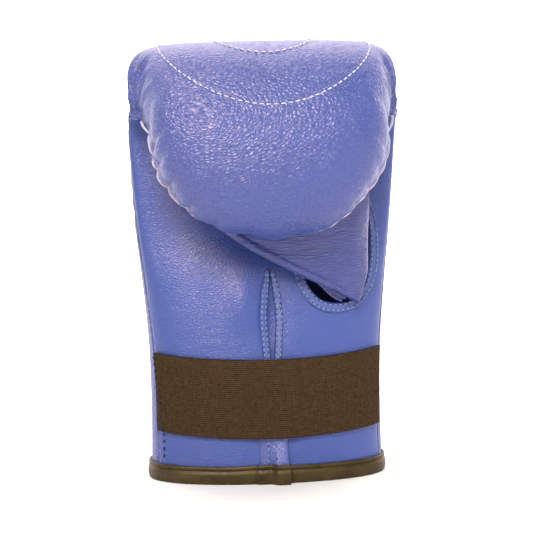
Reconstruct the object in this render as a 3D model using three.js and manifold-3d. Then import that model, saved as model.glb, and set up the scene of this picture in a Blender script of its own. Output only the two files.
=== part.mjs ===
// A padded bag glove for the right hand, standing on its cuff with the palm towards -Y.
// Millimetres, +X is the thumb side, +Y the back of the hand, +Z up.
// The origin is under the middle of the glove's bounding box, on the surface that it stands on.
// The glove is a bent sleeve: padding goes up the back of the hand, over the knuckles and down in
// front of the fingers, and two thin panels close it on the palm side.
import * as THREE from "three";
import { mergeVertices } from "three/addons/utils/BufferGeometryUtils.js";
import Module from "manifold-3d";

const wasm = await Module();
wasm.setup();

// Driving sizes of the whole glove
const GLOVE_HEIGHT = 228;
const FIST_WIDTH = 140;
const WRIST_WIDTH = 122;
const CUFF_FLARE = 0.6;
const CUFF_BACK = 32;
const KNUCKLE_BACK = 41;
const PALM_BULGE = 31;
const FIST_REACH = 72;
const PANEL_REACH = 37;
const FINGER_PAD_WIDTH = 124;

// The curled fist keeps its size, whatever the height of the glove
const CROOK_DROP = 37.5;
const FINGER_PAD_DROP = 52;
const FINGER_LENGTH = 47.5;
const CROOK_HEIGHT = GLOVE_HEIGHT - CROOK_DROP;
const FINGER_PAD_TOP = GLOVE_HEIGHT - FINGER_PAD_DROP;
const TIP_HEIGHT = FINGER_PAD_TOP - FINGER_LENGTH;

// Wall thicknesses
const KNUCKLE_PAD = 20;
const SEAM_WALL = 3;
const SHEET = 1.6;
const CLEARANCE = 0.3;

// Elastic band across the front of the wrist
const BAND_HEIGHT = 41;
const BAND_BOTTOM = 24;
const BAND_TOP = BAND_BOTTOM + BAND_HEIGHT;
const BAND_THICKNESS = 1.5;
const BAND_RISE = 3;
const BAND_EASE = 9;

// Binding round the hem of the cuff
const BINDING_HEIGHT = 9.4;
const BINDING_INSIDE_HEIGHT = 7;
const BINDING_WALL = 0.9;
const BINDING_SWELL = 0.5;

// Slit in the palm panel and the hems beside it
const SLIT_TOP = 111.5;
const SLIT_WIDTH = 5.4;
const SLIT_CENTRE = 0.9;
const HEM_WIDTH = 3.6;
const HEM_POINT = 12;
const HEM_THICKNESS = 1;
const HEM_TOP = SLIT_TOP - HEM_THICKNESS;
const FLAP_LAP = SLIT_CENTRE + 7;
const BINDING_LAP = FLAP_LAP + 2 * CLEARANCE;
const UNDERLAP_START = SLIT_CENTRE + 2.5;
const UNDERFLAP_CUT = 3;
const FLAP_LIFT = 2 * BINDING_WALL + BINDING_SWELL + 3 * CLEARANCE;

// Thumb opening in the palm panel
const THUMB_CENTRE_X = 35.6;
const THUMB_CENTRE_Z = 122.6;
const THUMB_WIDTH = 37.4;
const THUMB_HEM_WIDTH = 5;
const THUMB_HEIGHT = 60;
const THUMB_POWER = 2.3;

// Loose fold of the finger panel that hangs below the finger pad
const FOLD_START_X = -27;
const FOLD_TIP_X = 46.4;
const FOLD_TIP_DROP = 35.3;
const FOLD_EDGE_X = 53.6;
const FOLD_EDGE_DROP = 20;
const FOLD_TIP_Z = TIP_HEIGHT - FOLD_TIP_DROP;
const FOLD_EDGE_Z = TIP_HEIGHT - FOLD_EDGE_DROP;
const FOLD_GAP = 1.6;
const FOLD_LAP = 2;

// Sections along the sleeve, from the hem up the back of the hand and over to the fingertips.
// axis is the middle of the widest line, crown the outermost point of the pad.
// Forward shares are of PANEL_REACH for the axis. For the crown they are of FIST_REACH in front
// and, where they are negative, of KNUCKLE_BACK behind. Up shares are of CROOK_HEIGHT for the
// axis and GLOVE_HEIGHT for the crown. spread goes from 0 at the wrist to 1 at the knuckles,
// pad and bulge are shares of KNUCKLE_PAD and PALM_BULGE, wrap is how far in from the side the
// seam lies as a share of half the wrist width, and power is the squareness of the section.
const HAND_SECTIONS = [
  { up: 0.0, spread: 0.0, back: 0.0, pad: 0.18, bulge: 1.0, wrap: 0.045, power: 2.2 },
  { up: 0.11, spread: 0.0, back: 0.0, pad: 0.2, bulge: 1.0, wrap: 0.045, power: 2.2 },
  { up: 0.27, spread: 0.0, back: 0.1, pad: 0.5, bulge: 0.98, wrap: 0.04, power: 2.25 },
  { up: 0.405, spread: 0.1, back: 0.35, pad: 0.7, bulge: 0.93, wrap: 0.028, power: 2.4 },
  { up: 0.56, spread: 0.38, back: 0.75, pad: 0.8, bulge: 0.78, wrap: 0.016, power: 2.5 },
  { up: 0.7, spread: 0.68, back: 1.0, pad: 0.9, bulge: 0.52, wrap: 0.01, power: 2.8 },
];
const FIST_SECTIONS = [
  { axisForward: 0.07, axisUp: 0.925, crownForward: -0.96, crownUp: 0.84, spread: 0.98, pad: 1.0, bulge: 0.28, power: 4.2 },
  { axisForward: 0.25, axisUp: 0.982, crownForward: -0.56, crownUp: 0.955, spread: 1.0, pad: 1.0, bulge: 0.08, power: 5.4 },
  { axisForward: 0.49, axisUp: 1.0, crownForward: 0.1, crownUp: 1.0, spread: 0.98, pad: 1.0, bulge: 0.0, power: 6.4 },
  { axisForward: 0.74, axisUp: 0.988, crownForward: 0.57, crownUp: 0.977, spread: 0.78, pad: 1.0, bulge: 0.0, power: 5.2 },
];
// The finger pad: drop goes from 0 at FINGER_PAD_TOP to 1 at TIP_HEIGHT, rise is the crown's
// height above the axis as a share of the distance between the axis and the front.
const FINGER_SECTIONS = [
  { axisForward: 0.93, drop: 0.0, crownForward: 0.89, rise: 0.62, pad: 1.0, power: 3.4 },
  { axisForward: 0.98, drop: 0.5, crownForward: 1.0, rise: 0.2, pad: 1.0, power: 2.6 },
  { axisForward: 1.0, drop: 1.0, crownForward: 0.97, rise: -0.1, pad: 1.0, power: 2.4 },
];
const HAND_END = HAND_SECTIONS.length - 1;
const FINGER_START = HAND_SECTIONS.length + FIST_SECTIONS.length;
const FINGER_END = FINGER_START + FINGER_SECTIONS.length - 1;
const CROOK_TOP = HAND_SECTIONS.length + 2;

// Gathers where the seam pulls the pad in, in degrees round the finger pad: 0 is its upper left
// corner seen from the palm, 90 the fingertips and 180 the upper right corner. Beyond these the
// same measure goes on up the side seams. pull is a share of GATHER_PULL, wide is in degrees.
const GATHER_PULL = 2.6;
const GATHER_CREASE = 0.16;
const GATHER_REACH = 0.3;
const GATHERS = [
  { at: -42, pull: 0.35, wide: 4.5 },
  { at: -30, pull: 0.5, wide: 4 },
  { at: -19, pull: 0.6, wide: 3.5 },
  { at: -8, pull: 0.7, wide: 3 },
  { at: 6.5, pull: 1.0, wide: 2.6 },
  { at: 16, pull: 0.9, wide: 2.6 },
  { at: 29, pull: 0.6, wide: 3 },
  { at: 44, pull: 0.4, wide: 3 },
  { at: 59, pull: 0.45, wide: 4 },
  { at: 78, pull: 0.6, wide: 6 },
  { at: 103, pull: 0.6, wide: 6 },
  { at: 126, pull: 0.5, wide: 4 },
  { at: 137, pull: 0.45, wide: 3 },
  { at: 147, pull: 0.5, wide: 3 },
  { at: 158, pull: 0.5, wide: 3 },
  { at: 168, pull: 0.5, wide: 3 },
  { at: 185, pull: 0.7, wide: 3 },
  { at: 198, pull: 0.6, wide: 3.5 },
  { at: 210, pull: 0.5, wide: 4 },
  { at: 222, pull: 0.35, wide: 4.5 },
];

// Resolution: rows and columns of each grid
const HAND_ROWS = 11;
const FIST_ROWS = 8;
const KNUCKLE_ROWS = 6;
const FINGER_ROWS = 12;
const SHELL_COLUMNS = 28;
const PALM_ROWS = 18;
const PALM_COLUMNS = 16;
const HEM_ROWS = 18;
const HEM_COLUMNS = 3;
const GUSSET_ROWS = 8;
const BAND_ROWS = 4;
const BAND_COLUMNS = 26;
const RING_STEPS = 36;
const SLIT_STEPS = 14;
const BINDING_STEPS = 42;
const PANEL_ROWS = 14;
const PANEL_COLUMNS = 16;
const FOLD_ROWS = 12;
const FOLD_COLUMNS = 14;
const FINE = 160;

const VINYL = new THREE.MeshStandardMaterial({ color: 0x5560bb, roughness: 0.45, metalness: 0 });
const TRIM = new THREE.MeshStandardMaterial({ color: 0x4f63b8, roughness: 0.5, metalness: 0 });
const ELASTIC = new THREE.MeshStandardMaterial({ color: 0x33271c, roughness: 0.9, metalness: 0 });
const BINDING = new THREE.MeshStandardMaterial({ color: 0x3b2f22, roughness: 0.4, metalness: 0 });

const DEGREE = Math.PI / 180;
const lerp = THREE.MathUtils.lerp;
const ease = THREE.MathUtils.smoothstep;

// The crown's distance forward, from a share that is negative behind the hand
const crownReach = (share) => (share < 0 ? share * KNUCKLE_BACK : share * FIST_REACH);

// Every section in millimetres, in one list, so that they can be interpolated together
function sectionsInMillimetres() {
  const half = (spread) => lerp(WRIST_WIDTH, FIST_WIDTH, spread) / 2;
  const hand = HAND_SECTIONS.map((s, i) => ({
    axisY: 0,
    axisZ: s.up * CROOK_HEIGHT,
    crownY: lerp(CUFF_BACK, KNUCKLE_BACK, s.back),
    crownZ: s.up * CROOK_HEIGHT,
    half: half(s.spread) + (i === 0 ? CUFF_FLARE : 0),
    pad: s.pad * KNUCKLE_PAD,
    bulge: s.bulge * PALM_BULGE,
    wrap: (s.wrap * WRIST_WIDTH) / 2,
    power: s.power,
  }));
  const fist = FIST_SECTIONS.map((s) => ({
    axisY: -s.axisForward * PANEL_REACH,
    axisZ: s.axisUp * CROOK_HEIGHT,
    crownY: -crownReach(s.crownForward),
    crownZ: s.crownUp * GLOVE_HEIGHT,
    half: half(s.spread),
    pad: s.pad * KNUCKLE_PAD,
    bulge: s.bulge * PALM_BULGE,
    wrap: 0,
    power: s.power,
  }));
  const fingers = FINGER_SECTIONS.map((s) => ({
    axisY: -s.axisForward * PANEL_REACH,
    axisZ: lerp(FINGER_PAD_TOP, TIP_HEIGHT, s.drop),
    crownY: -crownReach(s.crownForward),
    crownZ: lerp(FINGER_PAD_TOP, TIP_HEIGHT, s.drop) + s.rise * (FIST_REACH - PANEL_REACH),
    half: FINGER_PAD_WIDTH / 2,
    pad: s.pad * KNUCKLE_PAD,
    bulge: 0,
    wrap: 0,
    power: s.power,
  }));
  return [...hand, ...fist, ...fingers];
}
const SECTIONS = sectionsInMillimetres();

// The section at t, a fractional row of the table, by a Catmull-Rom curve through each column
function sectionAt(t) {
  const i = Math.min(Math.floor(t), SECTIONS.length - 2);
  const f = t - i;
  const rows = [-1, 0, 1, 2].map((k) => SECTIONS[THREE.MathUtils.clamp(i + k, 0, SECTIONS.length - 1)]);
  const value = (key) => {
    const [a, b, c, d] = rows.map((row) => row[key]);
    const slope = (c - a) / 2;
    const next = (d - b) / 2;
    const f2 = f * f;
    const f3 = f2 * f;
    return (2 * f3 - 3 * f2 + 1) * b + (f3 - 2 * f2 + f) * slope + (3 * f2 - 2 * f3) * c + (f3 - f2) * next;
  };
  const axis = { y: value("axisY"), z: value("axisZ") };
  const reach = { y: value("crownY") - axis.y, z: value("crownZ") - axis.z };
  const depth = Math.hypot(reach.y, reach.z);
  return {
    axis,
    out: { y: reach.y / depth, z: reach.z / depth },
    depth,
    half: value("half"),
    pad: value("pad"),
    bulge: Math.max(0, value("bulge")),
    wrap: Math.max(0, value("wrap")),
    power: value("power"),
  };
}

// A point of a section: x across, and distance out from the widest line, negative on the palm side
const onSection = (s, x, out) =>
  new THREE.Vector3(x, s.axis.y + s.out.y * out, s.axis.z + s.out.z * out);

const crownShare = (r, power) => Math.pow(Math.max(0, 1 - Math.pow(Math.min(1, r), power)), 1 / power);

// Length along the widest line from the corner of the finger pad back to t
const AXIS_STEPS = 200;
const AXIS_LENGTH = (() => {
  const lengths = [0];
  for (let k = 1; k <= AXIS_STEPS; k++) {
    const a = sectionAt(FINGER_START * (1 - (k - 1) / AXIS_STEPS)).axis;
    const b = sectionAt(FINGER_START * (1 - k / AXIS_STEPS)).axis;
    lengths.push(lengths[k - 1] + Math.hypot(a.y - b.y, a.z - b.z));
  }
  return (t) => lengths[Math.round((1 - t / FINGER_START) * AXIS_STEPS)];
})();
const MM_PER_DEGREE = ((FINGER_LENGTH + FINGER_PAD_WIDTH / 2) / 2) * DEGREE;

// How strongly the seam pulls in at a place along it, 0 to about 1
function gatherAt(degrees) {
  let pull = 0;
  for (const g of GATHERS) pull += g.pull * Math.exp(-(((degrees - g.at) / g.wide) ** 2));
  return pull;
}

// n + 1 points at equal distances along a line of many points
function resample(points, n) {
  const lengths = [0];
  for (let k = 1; k < points.length; k++) lengths.push(lengths[k - 1] + points[k].distanceTo(points[k - 1]));
  const total = lengths[lengths.length - 1];
  const made = [];
  let k = 1;
  for (let j = 0; j <= n; j++) {
    const wanted = (total * j) / n;
    while (k < points.length - 1 && lengths[k] < wanted) k++;
    const f = (wanted - lengths[k - 1]) / (lengths[k] - lengths[k - 1] || 1);
    made.push(points[k - 1].clone().lerp(points[k], THREE.MathUtils.clamp(f, 0, 1)));
  }
  return made;
}

// One row of the shell below the finger pad, from its left seam over the crown to its right seam
function sleeveRow(t, inner) {
  const s = sectionAt(t);
  const half = s.half - (inner ? SEAM_WALL : 0);
  const depth = s.depth - (inner ? s.pad : 0);
  const bulge = Math.max(0, s.bulge - (inner ? SEAM_WALL : 0));
  const turn = Math.acos(Math.pow(1 - s.wrap / s.half, s.power / 2));
  const seam = AXIS_LENGTH(t) / MM_PER_DEGREE;
  const points = [];
  for (let k = 0; k <= FINE; k++) {
    const angle = lerp(Math.PI + turn, -turn, k / FINE);
    const across = Math.sign(Math.cos(angle)) * Math.pow(Math.abs(Math.cos(angle)), 2 / s.power);
    const crown = Math.pow(Math.abs(Math.sin(angle)), 2 / s.power);
    const near = ease(Math.abs(across), 1 - GATHER_REACH, 1);
    const pull = inner ? 0 : gatherAt(across < 0 ? -seam : 180 + seam) * near;
    const x = across * (half - GATHER_PULL * pull);
    const out = Math.sin(angle) >= 0 ? depth * crown * (1 - GATHER_CREASE * pull) : -bulge * crown;
    points.push(onSection(s, x, out));
  }
  return resample(points, SHELL_COLUMNS);
}

// One row of the finger pad: v is 0 at its top and 1 at the fingertips. Its outline is half an
// ellipse, mapped from a rectangle so that no row closes to a point.
function fingerRow(v, inner) {
  const points = [];
  const wall = inner ? SEAM_WALL : 0;
  for (let k = 0; k <= FINE; k++) {
    const u = Math.sin(lerp(-90, 90, k / FINE) * DEGREE);
    const q = u * Math.sqrt(1 - (v * v) / 2);
    const e = v * Math.sqrt(1 - (u * u) / 2);
    const r = Math.hypot(q, e);
    const near = ease(r, 1 - GATHER_REACH, 1);
    const pull = inner ? 0 : gatherAt(180 - Math.atan2(e, q) / DEGREE) * near;
    const share = (1 - wall / FINGER_LENGTH) * (1 - (GATHER_PULL * pull) / FINGER_LENGTH);
    const s = sectionAt(FINGER_START + e * share * (FINGER_END - FINGER_START));
    const depth = s.depth - (inner ? s.pad : 0);
    const out = depth * crownShare(r, s.power) * (1 - GATHER_CREASE * pull);
    points.push(onSection(s, q * (s.half - wall - GATHER_PULL * pull), out));
  }
  return resample(points, SHELL_COLUMNS);
}

// Each panel on the palm side ends this share of a section short of the crook
const CROOK_SHORT = 0.05;

// The row of the table whose widest line is at height z, on the hand side
function rowAtHeight(z) {
  let low = 0;
  let high = CROOK_TOP;
  for (let k = 0; k < 40; k++) {
    const middle = (low + high) / 2;
    if (sectionAt(middle).axis.z < z) low = middle;
    else high = middle;
  }
  return (low + high) / 2;
}

// A point of the palm panel's outer face at x, on section t
function palmOnRow(x, t) {
  const s = sectionAt(t);
  return onSection(s, x, -s.bulge * crownShare(Math.abs(x) / s.half, s.power));
}

// A point at x and height z on the palm panel's outer face, moved out along its normal
function palmAt(x, z, offset = 0) {
  const bare = (px, pz) => {
    let low = 0;
    let high = CROOK_TOP;
    for (let k = 0; k < 30; k++) {
      const middle = (low + high) / 2;
      if (palmOnRow(px, middle).z < pz) low = middle;
      else high = middle;
    }
    return palmOnRow(px, (low + high) / 2);
  };
  const point = bare(x, z);
  if (!offset) return point;
  const step = 0.2;
  const across = bare(x + step, z).sub(bare(x - step, z));
  const up = bare(x, z + step).sub(bare(x, Math.max(0, z - step)));
  return point.add(across.cross(up).normalize().multiplyScalar(offset));
}

// How far from x = 0 the palm panel may reach on section t, clear of the shell's seam wall
function palmEdge(t) {
  const s = sectionAt(t);
  const atSeam = s.half - s.wrap - 2 * CLEARANCE;
  const inShell = s.half - SEAM_WALL - 2 * CLEARANCE;
  return lerp(atSeam, inShell, ease(t, HAND_END - 0.5, HAND_END + 1));
}

// A closed body between two grids of points with the same rows and columns. On a ring the last
// row comes back to the first.
function slab(front, back, ring = false) {
  const rows = front.length - (ring ? 1 : 0);
  const columns = front[0].length;
  const flat = (grid) => grid.slice(0, rows).flat();
  const positions = [...flat(front), ...flat(back)].flatMap((p) => [p.x, p.y, p.z]);
  const index = [];
  const f = (i, j) => (i % rows) * columns + j;
  const b = (i, j) => rows * columns + f(i, j);
  const quad = (p, q, r, s) => index.push(p, q, r, p, r, s);
  for (let i = 0; i < front.length - 1; i++) {
    for (let j = 0; j < columns - 1; j++) {
      quad(f(i, j), f(i, j + 1), f(i + 1, j + 1), f(i + 1, j));
      quad(b(i, j), b(i + 1, j), b(i + 1, j + 1), b(i, j + 1));
    }
    quad(f(i, 0), f(i + 1, 0), b(i + 1, 0), b(i, 0));
    quad(f(i, columns - 1), b(i, columns - 1), b(i + 1, columns - 1), f(i + 1, columns - 1));
  }
  for (let j = 0; j < columns - 1 && !ring; j++) {
    quad(f(0, j), b(0, j), b(0, j + 1), f(0, j + 1));
    quad(f(rows - 1, j), f(rows - 1, j + 1), b(rows - 1, j + 1), b(rows - 1, j));
  }
  const geometry = new THREE.BufferGeometry();
  geometry.setAttribute("position", new THREE.Float32BufferAttribute(positions, 3));
  geometry.setIndex(index);
  return geometry;
}

// The solid that a closed geometry bounds, whichever way its faces were wound
function solid(geometry) {
  const merged = geometry.clone();
  for (const name of ["normal", "uv"]) merged.deleteAttribute(name);
  const welded = mergeVertices(merged, 1e-4);
  const triVerts = new Uint32Array(welded.index.array);
  const build = () =>
    new wasm.Manifold(new wasm.Mesh({ numProp: 3, vertProperties: welded.attributes.position.array, triVerts }));
  const made = build();
  if (made.volume() > 0) return made;
  for (let i = 0; i < triVerts.length; i += 3) [triVerts[i + 1], triVerts[i + 2]] = [triVerts[i + 2], triVerts[i + 1]];
  return build();
}

function geometryOf(body) {
  const mesh = body.getMesh();
  const positions = new Float32Array(mesh.numVert * 3);
  for (let i = 0; i < mesh.numVert; i++) {
    for (let k = 0; k < 3; k++) positions[3 * i + k] = mesh.vertProperties[i * mesh.numProp + k];
  }
  const geometry = new THREE.BufferGeometry();
  geometry.setAttribute("position", new THREE.BufferAttribute(positions, 3));
  geometry.setIndex(new THREE.BufferAttribute(mesh.triVerts, 1));
  return geometry;
}

const glove = new THREE.Group();

function add(name, body, material) {
  const mesh = new THREE.Mesh(geometryOf(body), material);
  mesh.name = name;
  glove.add(mesh);
}

const steps = (from, to, n) => Array.from({ length: n + 1 }, (_, k) => lerp(from, to, k / n));

// Cloth starts just above the binding's floor
const CLOTH_BOTTOM = BINDING_WALL + CLEARANCE;
const CLOTH_BOTTOM_ROW = rowAtHeight(CLOTH_BOTTOM);

// The padding comes in two pieces that meet over the crook: the back of the hand up to the
// knuckles, and the finger pad from the knuckles down
function backPad() {
  const rowsOf = (inner) => [
    ...steps(CLOTH_BOTTOM_ROW, HAND_END, HAND_ROWS).map((t) => sleeveRow(t, inner)),
    ...steps(HAND_END, CROOK_TOP, FIST_ROWS).slice(1).map((t) => sleeveRow(t, inner)),
  ];
  return solid(slab(endedBehind(rowsOf(false)), endedBehind(rowsOf(true))));
}
function fingerPad() {
  const rowsOf = (inner) => [
    ...steps(CROOK_TOP, FINGER_START, KNUCKLE_ROWS).map((t) => sleeveRow(t, inner)),
    ...steps(0, 90, FINGER_ROWS).slice(1).map((angle) => fingerRow(Math.sin(angle * DEGREE), inner)),
  ];
  return solid(slab(rowsOf(false), rowsOf(true)));
}

// Rows whose last one stands back from the finger pad
function endedBehind(rows) {
  const last = rows[rows.length - 1].map((p) => p.clone().add(new THREE.Vector3(0, CLEARANCE, 0)));
  return [...rows.slice(0, -1), last];
}
add("back_pad", backPad(), VINYL);
add("finger_pad", fingerPad(), VINYL);

// A prism along Y through the front of the glove, from an outline in x and z
function cutter(outline) {
  const shape = new THREE.Shape(outline.map(([x, z]) => new THREE.Vector2(x, z)));
  const geometry = new THREE.ExtrudeGeometry(shape, { depth: 2 * FIST_REACH, bevelEnabled: false });
  geometry.rotateX(Math.PI / 2);
  return solid(geometry);
}

// The edges of the slit at height z, from the top down: it closes at its top, gapes above the
// elastic band and is nearly shut below it. At the hem the left side is cut back under the flap.
function slitEdge(z, side) {
  const gape = [
    { z: SLIT_TOP, open: 0 },
    { z: lerp(SLIT_TOP, BAND_TOP, 0.3), open: 0.55 },
    { z: lerp(SLIT_TOP, BAND_TOP, 0.55), open: 1 },
    { z: BAND_TOP, open: 0.35 },
    { z: BAND_BOTTOM, open: 0.35 },
    { z: 0, open: 0.35 },
  ];
  let i = 0;
  while (i < gape.length - 2 && gape[i + 1].z > z) i++;
  const f = THREE.MathUtils.clamp((gape[i].z - z) / (gape[i].z - gape[i + 1].z), 0, 1);
  const cut = side < 0 ? UNDERFLAP_CUT * (1 - ease(z, BINDING_HEIGHT, BAND_BOTTOM)) : 0;
  return SLIT_CENTRE - cut + side * (SLIT_WIDTH / 2) * lerp(gape[i].open, gape[i + 1].open, ease(f, 0, 1));
}
const SLIT_HEIGHTS = steps(0, SLIT_TOP, SLIT_STEPS);

// The thumb opening's outline, grown or shrunk by a margin
function thumbOutline(angle, margin) {
  const round = (value) => Math.sign(value) * Math.pow(Math.abs(value), 2 / THUMB_POWER);
  const x = THUMB_CENTRE_X + (THUMB_WIDTH / 2 + margin) * round(Math.cos(angle));
  const z = THUMB_CENTRE_Z + (THUMB_HEIGHT / 2 + margin) * round(Math.sin(angle));
  return [x, z];
}

// Palm panel: one sheet from the hem up into the crook of the fist, with the slit and thumb opening
function palmPanel() {
  const sheet = (inner) =>
    steps(CLOTH_BOTTOM_ROW, CROOK_TOP - CROOK_SHORT, PALM_ROWS).map((t) => {
      const s = sectionAt(t);
      const edge = palmEdge(t);
      const points = steps(-90, 90, FINE).map((angle) => {
        const x = edge * Math.sin(angle * DEGREE);
        return onSection(s, x, -s.bulge * crownShare(Math.abs(x) / s.half, s.power));
      });
      const line = resample(points, PALM_COLUMNS);
      if (!inner) return line;
      return line.map((p, j) => {
        const along = line[Math.min(j + 1, PALM_COLUMNS)].clone().sub(line[Math.max(j - 1, 0)]).normalize();
        const out = new THREE.Vector3(0, s.out.y, s.out.z);
        const normal = out.sub(along.clone().multiplyScalar(out.dot(along))).normalize();
        return p.clone().addScaledVector(normal, SHEET);
      });
    });
  const whole = solid(slab(sheet(false), sheet(true)));
  const slit = [
    [slitEdge(0, -1), -BINDING_HEIGHT],
    [slitEdge(0, 1), -BINDING_HEIGHT],
    ...SLIT_HEIGHTS.slice(1, -1).map((z) => [slitEdge(z, 1), z]),
    [SLIT_CENTRE, SLIT_TOP],
    ...SLIT_HEIGHTS.slice(1, -1).reverse().map((z) => [slitEdge(z, -1), z]),
  ];
  const thumb = steps(0, 2 * Math.PI, RING_STEPS).slice(0, -1).map((angle) => thumbOutline(angle, 0));
  return whole.subtract(cutter(slit)).subtract(cutter(thumb));
}
add("palm_panel", palmPanel(), VINYL);

// A strip of the palm's cloth laid on its outer face, between two lines of [x, z] points
function strip(lines, near, thickness) {
  const face = (offset) => lines.map((row) => row.map(([x, z]) => palmAt(x, z, near(x, z) + offset)));
  return solid(slab(face(thickness), face(0)));
}

// How wide a hem of the slit is at height z: the two hems meet in a point above the slit
const hemWidth = (z) => HEM_WIDTH * Math.sqrt(THREE.MathUtils.clamp((SLIT_TOP + CLEARANCE - z) / HEM_POINT, 0, 1));

// Left hem of the slit. Below the band it widens into the flap that laps over the right side,
// and at the hem of the cuff it is lifted over the binding of the right side.
const flapRight = (z) =>
  lerp(slitEdge(z, -1), FLAP_LAP, 1 - ease(z, BAND_BOTTOM, BAND_TOP));
const LIFT_START = SLIT_CENTRE - UNDERFLAP_CUT + 2 * CLEARANCE;
const LIFT_END = UNDERLAP_START - CLEARANCE;
const LIFT_STEPS = 3;
const flapLift = (x, z) =>
  FLAP_LIFT * ease(x, LIFT_START, LIFT_END) * (1 - ease(z, BINDING_HEIGHT + CLEARANCE, BAND_BOTTOM));
function slitHemLeft() {
  const lines = steps(CLOTH_BOTTOM, HEM_TOP, HEM_ROWS).map((z) => {
    const under = SLIT_CENTRE - UNDERFLAP_CUT - SLIT_WIDTH / 2 - HEM_WIDTH / 2;
    const beside = Math.min(slitEdge(z, -1), SLIT_CENTRE - 2 * CLEARANCE) - hemWidth(z);
    const above = ease(z, BAND_BOTTOM, BAND_TOP);
    const left = lerp(under, beside, above);
    const right = Math.min(flapRight(z), z > BAND_TOP ? SLIT_CENTRE - CLEARANCE : FLAP_LAP);
    const lap = [left, ...steps(LIFT_START, LIFT_END, LIFT_STEPS), right];
    return steps(left, right, LIFT_STEPS + 2).map((x, k) => [lerp(lap[k], x, above), z]);
  });
  return strip(lines, (x, z) => CLEARANCE + flapLift(x, z), HEM_THICKNESS);
}
add("slit_hem_left", slitHemLeft(), TRIM);

function slitHemRight() {
  const lines = steps(BAND_TOP - BAND_RISE, HEM_TOP, HEM_ROWS - LIFT_STEPS * 2).map((z) => {
    const left = Math.max(slitEdge(z, 1), SLIT_CENTRE + CLEARANCE, flapRight(z) + 2 * CLEARANCE);
    return steps(left, left + hemWidth(z), HEM_COLUMNS).map((x) => [x, z]);
  });
  return strip(lines, () => CLEARANCE, HEM_THICKNESS);
}
add("slit_hem_right", slitHemRight(), TRIM);

// Gusset behind the gaping part of the slit
function slitGusset() {
  const reach = SLIT_WIDTH / 2 + HEM_WIDTH;
  const lines = steps(BAND_BOTTOM + BAND_HEIGHT / 2, SLIT_TOP + HEM_WIDTH, GUSSET_ROWS).map((z) =>
    steps(SLIT_CENTRE - reach, SLIT_CENTRE + reach, HEM_COLUMNS + 1).map((x) => [x, z]),
  );
  return strip(lines, () => -SHEET - CLEARANCE - HEM_THICKNESS, HEM_THICKNESS);
}
add("slit_gusset", slitGusset(), TRIM);

// Hem round the thumb opening
function thumbHem() {
  const ring = steps(0, 2 * Math.PI, RING_STEPS).map((angle) =>
    steps(CLEARANCE, THUMB_HEM_WIDTH, 2).map((margin) => thumbOutline(angle, margin)),
  );
  const face = (offset) => ring.map((row) => row.map(([x, z]) => palmAt(x, z, offset)));
  return solid(slab(face(CLEARANCE + HEM_THICKNESS), face(CLEARANCE), true));
}
add("thumb_hem", thumbHem(), TRIM);

// Elastic band, from seam to seam across the front of the wrist, over the hems of the slit
function elasticBand() {
  const lines = steps(BAND_BOTTOM, BAND_TOP, BAND_ROWS).map((z) => {
    const edge = palmEdge(rowAtHeight(z)) - CLEARANCE;
    return steps(-90, 90, BAND_COLUMNS).map((angle) => {
      const across = Math.sin(angle * DEGREE);
      return [edge * across, z + BAND_RISE * across * across];
    });
  });
  const over = (x) => {
    const side = Math.max(SLIT_CENTRE - SLIT_WIDTH / 2 - HEM_WIDTH - x, x - FLAP_LAP, 0);
    return CLEARANCE + (HEM_THICKNESS + CLEARANCE) * (1 - ease(side, HEM_THICKNESS, BAND_EASE));
  };
  return strip(lines, over, BAND_THICKNESS);
}
add("elastic_band", elasticBand(), ELASTIC);

// A point of the cuff's outline at height z and an angle from +X towards +Y, moved outward
function cuffAt(angle, z, offset) {
  const s = sectionAt(rowAtHeight(Math.max(z, 0)));
  const bare = (a) => {
    const x = s.half * Math.sign(Math.cos(a)) * Math.pow(Math.abs(Math.cos(a)), 2 / s.power);
    const y = (Math.sin(a) >= 0 ? s.depth : -s.bulge) * Math.pow(Math.abs(Math.sin(a)), 2 / s.power);
    return new THREE.Vector3(x, y + s.axis.y, z);
  };
  const step = 0.02;
  const along = bare(angle + step).sub(bare(angle - step)).normalize();
  return bare(angle).add(new THREE.Vector3(along.y, -along.x, 0).multiplyScalar(offset));
}

// Across the folded tape, from its outer edge to its inner one. side is 1 outside and -1 inside,
// wall and swell are shares of BINDING_WALL and BINDING_SWELL, up is one of BINDING_HEIGHT.
const TAPE_FOLD = [
  { side: 1, wall: 1, swell: 0, up: 1 },
  { side: 1, wall: 1, swell: 1, up: 0.55 },
  { side: 1, wall: 1, swell: 0.6, up: 0.17 },
  { side: 1, wall: 0.4, swell: 0, up: 0 },
  { side: -1, wall: 0.4, swell: 0, up: 0 },
  { side: -1, wall: 1, swell: 0, up: 0.17 },
  { side: -1, wall: 1, swell: 0, up: BINDING_INSIDE_HEIGHT / BINDING_HEIGHT },
];

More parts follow.
